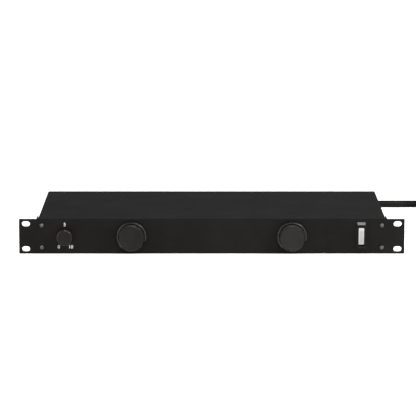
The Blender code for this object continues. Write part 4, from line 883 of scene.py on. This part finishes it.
class RACKUNIT_OT_cord(bpy.types.Operator):
    """Lay the mains cord with its strain relief, coil, tie and plug"""

    bl_idname = "rackunit.cord"
    bl_label = "Mains cord"

    def execute(self, context):
        relief = self.relief()
        tie = self.tie()
        plug = self.plug(context.scene.rackunit_sizes.boot_ribs)
        names = ("plug_line_blade", "plug_neutral_blade", "plug_ground_pin")
        dress("nickel", *names)
        free = evenly(smooth_line(CORD_ROUTE, 12), CORD_STEP)
        line = np.vstack([free, coil_line(COIL_POINTS_A_TURN)])
        curve = bpy.data.curves.new("mains_cord", "CURVE")
        curve.dimensions = "3D"
        curve.bevel_depth = CORD_DIAMETER / 2
        curve.bevel_resolution = 5
        curve.use_fill_caps = True
        spline = curve.splines.new("POLY")
        spline.points.add(len(line) - 1)
        for point, place in zip(spline.points, line):
            point.co = (*place, 1.0)
        spline.use_smooth = True
        curve.materials.append(paint("cord rubber"))
        cord = add_object("mains_cord", curve)
        settle(cord, "chassis", ("power_cord", "cord_coil"))
        return {"FINISHED"}

    def relief(self):
        """The moulded relief: a round flange on the wall and a tail of soft ribs, in mm."""
        low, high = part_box("strain_relief")
        centre = axis_point("strain_relief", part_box("base_tray")[1].y)
        root, tip = (low.y - centre.y) / MM, (high.y - centre.y) / MM
        profile = [(0.0, root), (7.2, root), (7.7, root + 0.5), (9.9, -3.5), (9.9, -1.5)]
        profile += [(7.7, -1.5), (7.7, 0.3), (10.7, 0.3)] + arc((10.0, 2.3), 1.0, 0, 90, 5)
        start, ribs, bead = 3.3, 8, 0.35
        pitch = (tip - start) / ribs
        for i in range(ribs):
            share = (i + 0.5) / ribs
            wide = 8.9 - 2.7 * share
            neck = wide - (1.2 - 0.5 * share)
            at = start + pitch * i
            profile += [(neck, at + 0.05 * pitch), (neck, at + 0.35 * pitch)]
            profile += arc((wide - bead, at + 0.72 * pitch), bead, -70, 70, 5)
        profile += [(5.3, tip), (0.0, tip)]
        bm = bmesh.new()
        add_turned(bm, profile, 56, centre)
        piece = as_object("cord_relief", bm, paint("moulded rubber"), smooth=50)
        return settle(piece, "chassis", ("strain_relief",))

    def tie(self):
        """The hook-and-loop strap round the bundle, with its loose end laid over."""
        inner, outer = TIE_RADIAL
        low, high = TIE_HEIGHTS
        middle_r, middle_z = (inner + outer) / 2, (low + high) / 2
        loop = rounded((outer - inner) / 2, (high - low) / 2, 4.6 * MM, 8)
        turn = Matrix.Translation((*COIL_CENTRE, 0.0)) @ Matrix.Rotation(-TIE_ANGLE, 4, "Z")
        half, near = 0.5, 0.47
        section = [(-half, 0.15), (-half, 0.85), (-near, 1.0), (near, 1.0)]
        section += [(half, 0.85), (half, 0.15), (near, 0.0), (-near, 0.0)]
        bm = bmesh.new()
        rings = []
        for i, (r, z) in enumerate(loop):
            after, before = loop[(i + 1) % len(loop)], loop[i - 1]
            along = Vector((after[0] - before[0], after[1] - before[1])).normalized()
            out = Vector((along.y, -along.x)) * TIE_THICKNESS
            ring = []
            for across, share in section:
                radius, height = middle_r + r + out.x * share, middle_z + z + out.y * share
                ring.append(turn @ Vector((across * TIE_WIDTH, radius, height)))
            rings.append(ring)
        add_rings(bm, rings, closed=True)
        flap = rounded(TIE_WIDTH / 2 - 0.4 * MM, 11.0 * MM, 5.0 * MM, 6)
        flap_r, flap_z = middle_r + 4.0 * MM, high + TIE_THICKNESS
        rings = []
        for rise, shrink in ((0.02 * MM, 1.0), (0.5 * MM, 1.0), (0.62 * MM, 0.97)):
            spots = [Vector((x * shrink, flap_r + r * shrink, flap_z + rise)) for x, r in flap]
            rings.append([turn @ spot for spot in spots])
        add_rings(bm, rings)
        piece = as_object("strap_round_coil", bm, paint("hook-and-loop strap"), smooth=40)
        return settle(piece, "chassis", ("coil_tie",))

    def plug(self, ribs):
        """The moulded plug: a ribbed boot that widens into a waisted grip, in mm."""
        low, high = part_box("plug_body")
        centre = axis_point("plug_body", high.y)
        half_x, length, half_z = ((high - low) / MM * Vector((0.5, 1.0, 0.5)))[:]
        boot = 40.0
        pitch = boot * 0.72 / ribs
        rib = ((0.0, -0.55), (0.3, -0.55), (0.38, 0.15), (0.6, 0.25), (0.9, 0.15), (0.97, -0.5))
        # Distance from the cord's end, half width, half height and squareness
        sections = []
        for i in range(ribs):
            for share, swell in rib:
                at = pitch * (i + share)
                radius = 5.5 + 2.7 * (at / boot) ** 1.5 + swell * 0.8
                sections.append((at, radius, radius, 2.0))
        sections[0] = (0.0, 5.0, 5.0, 2.0)
        sections += [
            (boot * 0.74, 7.4, 7.6, 2.0),
            (boot * 0.9, 8.3, 9.0, 2.2),
            (boot, 9.7, 12.2, 2.7),
            (boot + 2.5, 11.8, 14.8, 3.4),
            (boot + 6.0, half_x, half_z, 4.2),
            (boot + 13.0, half_x - 0.9, half_z, 4.6),
            (boot + 20.0, half_x - 0.5, half_z, 5.0),
            (length - 6.0, half_x, half_z, 6.0),
            (length - 1.0, half_x, half_z, 6.0),
            (length - 0.3, half_x - 0.25, half_z - 0.25, 6.0),
            (length, half_x - 0.9, half_z - 0.9, 6.0),
        ]
        steps = 64
        rings = []
        for at, wide, tall, power in sections:
            ring = []
            for k in range(steps):
                a = 2 * math.pi * (k + 0.5) / steps
                c, s = math.cos(a), math.sin(a)
                x = wide * math.copysign(abs(c) ** (2 / power), c)
                z = tall * math.copysign(abs(s) ** (2 / power), s)
                ring.append(centre + Vector((x * MM, -at * MM, z * MM)))
            rings.append(ring)
        bm = bmesh.new()
        add_rings(bm, rings)
        piece = as_object("plug_shell", bm, paint("moulded rubber"), smooth=45)
        return settle(piece, "chassis", ("plug_body",))


class RACKUNIT_OT_chassis(bpy.types.Operator):
    """Finish the front panel, the tray and the cover"""

    bl_idname = "rackunit.chassis"
    bl_label = "Chassis"

    def execute(self, context):
        dress("panel powder coat", "front_panel")
        dress("chassis powder coat", "base_tray", "top_cover")
        return {"FINISHED"}


class RACKUNIT_OT_screws(bpy.types.Operator):
    """Set the socket button screws in the panel and in the cover's sides"""

    bl_idname = "rackunit.screws"
    bl_label = "Screws"

    def execute(self, context):
        self.row("panel", 2.65, 1.6, 1.5)
        self.row("cover", 2.7, 1.6, 1.4)
        return {"FINISHED"}

    def row(self, kind, head, height, shank):
        """Four screws of one kind: the panel's point back, the cover's point inwards."""
        nodes = [f"{kind}_screw_{i}" for i in (1, 2, 3, 4)]
        places, turns, long = [], [], 6.0
        for node in nodes:
            low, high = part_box(node)
            centre = (low + high) / 2
            if kind == "panel":
                places.append((centre.x, low.y + height * MM, centre.z))
                turns.append((0.0, 0.0, 0.0))
                long = (high.y - low.y) / MM - height
            else:
                side = math.copysign(1.0, centre.x)
                face = high.x if side > 0 else low.x
                places.append((face - side * height * MM, centre.y, centre.z))
                turns.append((0.0, 0.0, side * math.pi / 2))
        template = self.screw(head, height, shank, long)
        piece = copies_at(f"{kind}_screws", template, places, paint("black screw"), turns)
        settle(piece, "chassis", nodes)

    def screw(self, head, height, shank, long):
        """A domed head with a hexagon socket, and a grooved shank, in mm."""
        profile = [(0.0, -height)]
        for a in np.linspace(0.45, 1.5, 9):
            dome = 0.16 + 0.84 * math.cos(a) ** 1.2
            profile.append((head * math.sin(a), -height * dome))
        profile += [(head, -height * 0.08), (head * 0.97, 0.0), (shank, 0.0)]
        grooves = 8
        step = long * 0.86 / grooves
        for i in range(grooves):
            at = long * 0.12 + step * i
            profile += [(shank * 0.86, at), (shank, at + step * 0.5)]
        profile += [(shank * 0.8, long), (0.0, long)]
        bm = bmesh.new()
        add_turned(bm, profile, 36, Vector((0.0, 0.0, 0.0)))
        screw = as_object("screw_template", bm, smooth=40)
        tool = bmesh.new()
        socket = arc((0.0, 0.0), head * 0.52, 0, 300, 5)
        add_levels(tool, [(socket, -height * 1.5), (socket, -height * 0.3)])
        return carve(screw, tool)


class RACKUNIT_OT_lamps(bpy.types.Operator):
    """Turn the lamp knobs and rings, and fill the pull-out tubes"""

    bl_idname = "rackunit.lamps"
    bl_label = "Pull-out lamps"

    def execute(self, context):
        for side in SIDES:
            node = f"lamp_{side}_"
            centre = axis_point(node + "cap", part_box("front_panel")[0].y)
            self.bezel(side, centre)
            self.cap(side, centre, context.scene.rackunit_sizes)
            self.chips(side, centre)
            dress("black anodised tube", node + "tube", node + "guide")
            dress("black plastic", node + "shuttle")
            dress("frosted lamp lens", node + "lens")
            dress("circuit board", node + "led_board")
        return {"FINISHED"}

    def bezel(self, side, centre):
        """The ring round the knob, in mm: gloss, but matt where it is worn."""
        outer, front, back = depths(f"lamp_{side}_bezel", centre)
        cup, floor, seat, bore, recess = outer - 2.5, -1.5, -0.3, 13.3, 16.2
        lip, rounding = 0.5, 1.9
        profile = [(bore, back), (bore, floor), (cup, floor)]
        profile += arc((cup + lip, front + lip), lip, 180, 270, 5)
        profile += arc((outer - rounding, front + rounding), rounding, 270, 360, 12)
        profile += [(outer, -0.8), (outer - 0.2, seat), (recess, seat), (recess, back)]
        bm = bmesh.new()
        add_turned(bm, profile, 112, centre, closed=True)
        for face in bm.faces:
            spot, away = from_axis(face.calc_center_median(), centre)
            crown = spot.z > 0.93 * outer
            foot = spot.z < -0.25 * outer and spot.x > -0.62 * outer
            if crown or foot or (spot.y > front + 1.6 and away > cup):
                face.material_index = 1
        gloss = turned_finish("ring gloss black " + side, centre, 0.2, 0.3)
        matt = turned_finish("ring matt black " + side, centre, 0.5, 0.05)
        piece = as_object(f"lamp_{side}_ring", bm, gloss, matt, smooth=40)
        settle(piece, "chassis", (f"lamp_{side}_bezel",))

    def cap(self, side, centre, sizes):
        """The knob, in mm: a satin face, a rounded edge and a grip with a knurl."""
        body = f"lamp_{side}_tube"
        radius, front, back = depths(f"lamp_{side}_cap", centre)
        core = radius - sizes.knurl_depth / MM
        edge, shoulder, spigot = 1.1, 0.3, 11.3
        grip_front, grip_back = front + 1.9, -3.2
        profile = [(0.0, front + 0.12), (11.0, front + 0.1), (radius - 1.6, front)]
        profile += arc((radius - edge - 0.05, front + edge), edge, 270, 350, 8)
        profile += [(radius, front + KNOB_BAND), (radius, grip_front - shoulder)]
        profile += [(core, grip_front), (core, grip_back), (radius, grip_back + shoulder)]
        profile += [(radius, -2.1), (radius - 0.4, -1.8), (spigot, -1.8)]
        profile += [(spigot, back), (0.0, back)]
        bm = bmesh.new()
        add_turned(bm, profile, 112, centre)
        for face in bm.faces:
            spot, away = from_axis(face.calc_center_median(), centre)
            if spot.y > front + KNOB_BAND:
                face.material_index = 1
            elif away > radius - edge:
                face.material_index = 2
        specular = {"left": 0.135, "right": 0.185}[side]
        satin = turned_finish(f"knob satin black {side}", centre, 0.27, specular)
        # Painted light: the grip's black is lifted 3.5 times so the shaded gap between knob and
        # ring reads lighter
        grip = turned_finish(f"knob grip black {side}", centre, 0.4, 0.2, 3.5)
        rim = turned_finish(f"knob edge black {side}", centre, 0.2, 0.14)
        piece = as_object(f"lamp_{side}_knob", bm, satin, grip, rim, smooth=40)
        settle(piece, body, (f"lamp_{side}_cap",))

        pitch = (grip_back - grip_front) / sizes.knurl_rows
        across = 2 * math.pi * core / sizes.knurl_columns
        long, wide, foot, top = pitch * 0.52, across * 0.49, -0.02, sizes.knurl_depth / MM * 0.94
        base = [(long, 0.0), (0.0, wide), (-long, 0.0), (0.0, -wide)]
        spike = bmesh.new()
        levels = [(foot, 1.0), (top, 0.3)]
        add_rings(
            spike, [[(x * MM, y * s * MM, z * s * MM) for y, z in base] for x, s in levels]
        )
        template = as_object("knurl_template", spike, smooth=10)
        obj = add_object(f"lamp_{side}_knurl", bpy.data.meshes.new("knurl"))
        values = {
            "Template": template,
            "Columns": sizes.knurl_columns,
            "Rows": sizes.knurl_rows,
            "Radius": core * MM,
            "Row Pitch": pitch * MM,
            "Centre": centre + Vector((0.0, (grip_front + pitch / 2) * MM, 0.0)),
            "Finish": grip,
        }
        run_tree(obj, knurl_tree(), values)
        bpy.data.objects.remove(template)
        settle(obj, body, ())

    def chips(self, side, centre):
        """The lamp chips in a row on the board's underside."""
        low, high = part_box(f"lamp_{side}_lens")
        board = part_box(f"lamp_{side}_led_board")[0]
        count = 12
        pitch = (high.y - low.y) / count
        bm = bmesh.new()
        add_block(bm, (-1.35, -1.25, -0.12), (1.35, 1.25, 0.05), 0.1)
        template = as_object("chip_template", bm)
        places = [(centre.x, low.y + pitch * (i + 0.5), board.z) for i in range(count)]
        piece = copies_at(f"lamp_{side}_chips", template, places, paint("lamp chip"))
        settle(piece, f"lamp_{side}_tube", ())


class RACKUNIT_OT_dimmer(bpy.types.Operator):
    """Turn the dimmer knob and print its dial numbers"""

    bl_idname = "rackunit.dimmer"
    bl_label = "Dimmer"

    def execute(self, context):
        centre = axis_point("dimmer_knob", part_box("front_panel")[0].y)
        self.knob(centre)
        self.numbers(centre, context.scene.rackunit_sizes.number_height)
        dress("nickel", "dimmer_pot", "dimmer_nut", "dimmer_shaft")
        return {"FINISHED"}

    def knob(self, centre):
        """The knob, in mm: satin, with a glossy rounding but for its underside."""
        radius, front, back = depths("dimmer_knob", centre)
        edge, skirt, root, bore = 2.2, 6.85, -3.9, 3.2
        end = front + 1.8
        profile = [(0.0, front + 0.12), (5.0, front + 0.1), (radius - edge - 0.3, front)]
        profile += arc((radius - edge, front + edge), edge, 272, 360, 12)
        profile += [(radius, back - 0.5), (radius - 0.5, back), (skirt, back)]
        profile += [(skirt, root), (bore, root), (bore, end), (0.0, end)]
        bm = bmesh.new()
        add_turned(bm, profile, 96, centre)
        for face in bm.faces:
            spot, away = from_axis(face.calc_center_median(), centre)
            if spot.y < front + KNOB_BAND and away > radius - edge and spot.z > -0.35 * radius:
                face.material_index = 1
        satin = turned_finish("dimmer satin black", centre, 0.22, 0.12, tint=(1.16, 1.0, 0.86))
        gloss = turned_finish("dimmer edge black", centre, 0.2, 0.2)
        piece = as_object("dimmer_cap", bm, satin, gloss, smooth=40)
        settle(piece, "dimmer", ("dimmer_knob",))

    def numbers(self, centre, height):
        """Plain numbers from nought to ten at the two ends and the middle of the dial."""
        for text, x, z in (("0", -7.6, -13.4), ("5", 0.0, 14.9), ("10", 7.4, -13.4)):
            name = "dial_number_" + text
            curve = bpy.data.curves.new(name, "FONT")
            curve.body = text
            curve.size = height / 0.7
            curve.extrude = 0.02 * MM
            curve.offset = 0.06 * MM
            curve.align_x = "CENTER"
            curve.align_y = "CENTER"
            obj = add_object(name, curve)
            evaluated = obj.evaluated_get(bpy.context.evaluated_depsgraph_get())
            mesh = bpy.data.meshes.new_from_object(evaluated)
            bpy.data.objects.remove(obj)
            spot = centre + Vector((x * MM, -0.02 * MM, z * MM))
            mesh.transform(Matrix.Translation(spot) @ Matrix.Rotation(math.pi / 2, 4, "X"))
            mesh.materials.clear()
            mesh.materials.append(paint("printed mark"))
            settle(add_object(name, mesh), "chassis")


class RACKUNIT_OT_switch(bpy.types.Operator):
    """Finish the switch frame and rocker, and shape the lit lens"""

    bl_idname = "rackunit.switch"
    bl_label = "Power switch"

    def execute(self, context):
        self.housing()
        dress("switch frame matt", "switch_rocker")
        dress("nickel", "rocker_pin")
        pivot = next(j for j in frame["joints"] if j["name"] == "power_rocker")["pos_m"]
        self.lens(Matrix.Translation(pivot) @ Matrix.Rotation(LENS_SLOPE, 4, "X"))
        return {"FINISHED"}

    def lens(self, place):
        """The lit lens, in mm from the rocker's pivot: a border, painted lighter than the core as a
        highlight, and a ribbed core.
        """
        wide, tall = 3.32, 10.72
        back, front, sunk = -3.5, -4.9, 0.35
        inset, top_inset = 1.15, 2.9
        drop = (top_inset - inset) / 2
        core_half = tall - (inset + top_inset) / 2
        outer = rounded(wide, tall, 0.5, 4)
        shrunk = rounded(wide - 0.25, tall - 0.25, 0.4, 4)
        hole = rounded(wide - inset, core_half, 0.5, 4)
        floor = rounded(wide - inset - 0.15, core_half - 0.15, 0.4, 4)
        hole, floor = ([(x, z - drop) for x, z in ring] for ring in (hole, floor))
        levels = [(outer, back), (outer, front + 0.25), (shrunk, front), (hole, front)]
        bm = bmesh.new()
        add_levels(bm, levels + [(floor, front + sunk)], place=place)
        # The border's lighter colour is a painted highlight on the lens's rim
        border = as_object("switch_lens_border", bm, paint("lens border"), smooth=40)
        settle(border, "power_rocker", ("switch_lens",))
        half, rows = wide - inset - 0.2, 15
        ribbed = 2 * core_half - 0.6
        reach = ribbed / rows / 2 * 0.97
        near, far = front + sunk - 0.14, front + sunk + 0.05
        bm = bmesh.new()
        for i in range(rows):
            z = -drop - ribbed / 2 + ribbed * (i + 0.5) / rows
            add_block(bm, (-half, near, z - reach), (half, far, z + reach), 0.06)
        bm.transform(place)
        core = as_object("switch_lens_core", bm, paint("lens core"), smooth=40)
        settle(core, "power_rocker", ())

    def housing(self):
        """The moulded frame: glossy on the rim's left and foot, matt on its right and slopes."""
        finishes = [paint("switch frame" + kind) for kind in ("", " gloss", " matt")]
        low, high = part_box("switch_housing")
        middle = (low + high) / 2
        side = high.x - middle.x
        foot, near, border = low.y + 3.1 * MM, 0.1 * MM, 1.0 * MM

        def pull(corner):
            """Leave a thin flat border round the frame's slope."""
            across = corner.x - middle.x
            if abs(corner.y - foot) < near and abs(across) > side - near:
                corner.x -= math.copysign(border, across)

        piece = softened("switch_housing", "switch_frame", 0.18 * MM, *finishes, move=pull)
        for face in piece.data.polygons:
            spot, normal = (face.center - middle) / MM, face.normal
            rim = face.center.y < low.y + 0.3 * MM
            left, bottom, top = spot.x < -3.0, spot.z < -11.5, spot.z > 13.9
            if (rim and (left or bottom)) or (top and normal.z > 0.3):
                face.material_index = 1
            elif rim or normal.x > 0.3 or (bottom and normal.z < -0.2) or abs(spot.x) > 5.25:
                face.material_index = 2
        settle(piece, "chassis", ("switch_housing",))


class RACKUNIT_OT_outlets(bpy.types.Operator):
    """Mould the rear outlets in a row, with their contacts"""

    bl_idname = "rackunit.outlets"
    bl_label = "Outlets"

    def execute(self, context):
        nodes = [f"outlet_{i}" for i in range(1, 9)]
        boxes = [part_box(node) for node in nodes]
        places = [axis_point(node, high.y) for node, (low, high) in zip(nodes, boxes)]
        low, high = boxes[0]
        template = self.outlet((high.y - low.y) / MM)
        piece = copies_at("outlets", template, places, paint("black plastic"))
        settle(piece, "chassis", nodes)
        back, front = -9.0, -1.8
        bm = bmesh.new()
        for x, half in zip((-BLADE_X, BLADE_X), BLADE_HALVES):
            for side in (-1, 1):
                near, far = sorted((x + side * 0.55, x + side * 1.05))
                add_block(bm, (near, back, BLADE_Z - half), (far, front, BLADE_Z + half), 0.1)
        for side in (-1, 1):
            near, far = sorted((side * 2.1, side * 2.7))
            add_block(bm, (near, back, -10.4), (far, front, -5.4), 0.1)
        contacts = as_object("contact_template", bm)
        piece = copies_at("outlet_contacts", contacts, places, paint("brass"))
        settle(piece, "chassis", ())
        dress("brass", "line_bus_bar", "neutral_bus_bar", "ground_bus_bar")
        return {"FINISHED"}

    def outlet(self, depth):
        """An outlet in mm: body, flange and raised face, with two slots and a ground hole."""
        body, flange = rounded(13.0, 15.5, 1.0, 3), rounded(15.0, 17.5, 1.6, 3)
        soft = rounded(14.6, 17.1, 1.4, 3)
        foot, pad = rounded(12.0, 14.5, 5.2, 3), rounded(11.9, 14.4, 5.1, 3)
        face = rounded(11.5, 14.0, 4.8, 3)
        levels = [(body, -depth), (body, -2.8), (flange, -2.8), (flange, -1.6), (soft, -1.2)]
        bm = bmesh.new()
        add_levels(bm, levels + [(foot, -1.2), (pad, -0.35), (face, 0.0)])
        outlet = as_object("outlet_template", bm, smooth=40)
        tool = bmesh.new()
        for x, half in zip((-BLADE_X, BLADE_X), BLADE_HALVES):
            reach = half + 0.3
            add_block(tool, (x - 1.1, -16.0, BLADE_Z - reach), (x + 1.1, 1.0, BLADE_Z + reach))
        hole = [(-2.8, -10.8), (2.8, -10.8)] + arc((0.0, -6.6), 2.8, 0, 180, 12)
        add_levels(tool, [(hole, -18.0), (hole, 1.0)])
        return carve(outlet, tool)


class RACKUNIT_OT_breaker(bpy.types.Operator):
    """Finish the breaker, its nut and its reset button"""

    bl_idname = "rackunit.breaker"
    bl_label = "Breaker"

    def execute(self, context):
        dress("black plastic", "breaker_body")
        self.nut()
        self.button()
        return {"FINISHED"}

    def nut(self):
        """A hexagon nut with its corners taken off at both ends, in mm."""
        centre = axis_point("breaker_nut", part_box("breaker_nut")[0].y)
        flat, _, thick = depths("breaker_nut", centre)
        bore, corners, parts = 5.85, 6, 8
        hexagon = np.array(arc((0.0, 0.0), flat * 2 / math.sqrt(3), 30, 330, corners - 1))
        outline = []
        for point, after in zip(hexagon, np.roll(hexagon, -1, axis=0)):
            outline += [point * (1 - t) + after * t for t in np.arange(parts) / parts]
        reach = [math.hypot(x, z) for x, z in outline]
        inner = [point * bore / r for point, r in zip(outline, reach)]
        low_end = [point * min(1.0, flat * 1.02 / r) for point, r in zip(outline, reach)]
        high_end = [point * min(1.0, flat / r) for point, r in zip(outline, reach)]
        levels = [(inner, 0.0), (low_end, 0.0), (outline, 0.25), (outline, thick - 0.5)]
        levels += [(high_end, thick), (inner, thick)]
        bm = bmesh.new()
        add_levels(bm, levels, closed=True, place=Matrix.Translation(centre))
        piece = as_object("breaker_lock_nut", bm, paint("nickel"), smooth=35)
        settle(piece, "chassis", ("breaker_nut",))

    def button(self):
        centre = axis_point("breaker_button", 0.0)
        radius, root, tip = depths("breaker_button", centre)
        edge = 0.8
        profile = [(0.0, tip), (radius * 0.55, tip - 0.05)]
        profile += arc((radius - edge, tip - edge - 0.05), edge, 75, 0, 7)
        profile += [(radius, root + 0.2), (radius - 0.2, root), (0.0, root)]
        bm = bmesh.new()
        add_turned(bm, profile, 48, centre)
        piece = as_object("reset_button", bm, paint("white button"), smooth=40)
        settle(piece, "breaker_button", ("breaker_button",))


class RACKUNIT_OT_inside(bpy.types.Operator):
    """Finish the filter board and the parts that stand on it"""

    bl_idname = "rackunit.inside"
    bl_label = "Inside"

    def execute(self, context):
        dress("circuit board", "filter_board")
        dress("coated ferrite", "filter_choke")
        dress("capacitor case", "filter_capacitor")
        dress("black plastic", "led_supply")
        return {"FINISHED"}


class RACKUNIT_PT_panel(bpy.types.Panel):
    """The unit's pieces, colours and stage"""

    bl_label = "Rack Power Controller"
    bl_idname = "RACKUNIT_PT_panel"
    bl_space_type = "VIEW_3D"
    bl_region_type = "UI"
    bl_category = "Rack Unit"

    def draw(self, context):
        layout = self.layout
        for operator in OPERATORS:
            layout.operator(operator.bl_idname)
        for name in GROUPED:
            group = getattr(context.scene, name)
            box = layout.box()
            for value in group.__annotations__:
                box.prop(group, value)


OPERATORS = (
    RACKUNIT_OT_stage,
    RACKUNIT_OT_cord,
    RACKUNIT_OT_chassis,
    RACKUNIT_OT_screws,
    RACKUNIT_OT_lamps,
    RACKUNIT_OT_dimmer,
    RACKUNIT_OT_switch,
    RACKUNIT_OT_outlets,
    RACKUNIT_OT_breaker,
    RACKUNIT_OT_inside,
)
GROUPED = {
    "rackunit_colours": RACKUNIT_PG_colours,
    "rackunit_sizes": RACKUNIT_PG_sizes,
    "rackunit_stage": RACKUNIT_PG_stage,
}


def register():
    for group in GROUPED.values():
        bpy.utils.register_class(group)
    for name, group in GROUPED.items():
        setattr(bpy.types.Scene, name, PointerProperty(type=group))
    for operator in OPERATORS:
        bpy.utils.register_class(operator)
    bpy.utils.register_class(RACKUNIT_PT_panel)


def unregister():
    bpy.utils.unregister_class(RACKUNIT_PT_panel)
    for operator in reversed(OPERATORS):
        bpy.utils.unregister_class(operator)
    for name, group in GROUPED.items():
        delattr(bpy.types.Scene, name)
        bpy.utils.unregister_class(group)


def main():
    register()
    for operator in OPERATORS:
        family, name = operator.bl_idname.split(".")
        getattr(getattr(bpy.ops, family), name)()


if __name__ == "__main__":
    main()
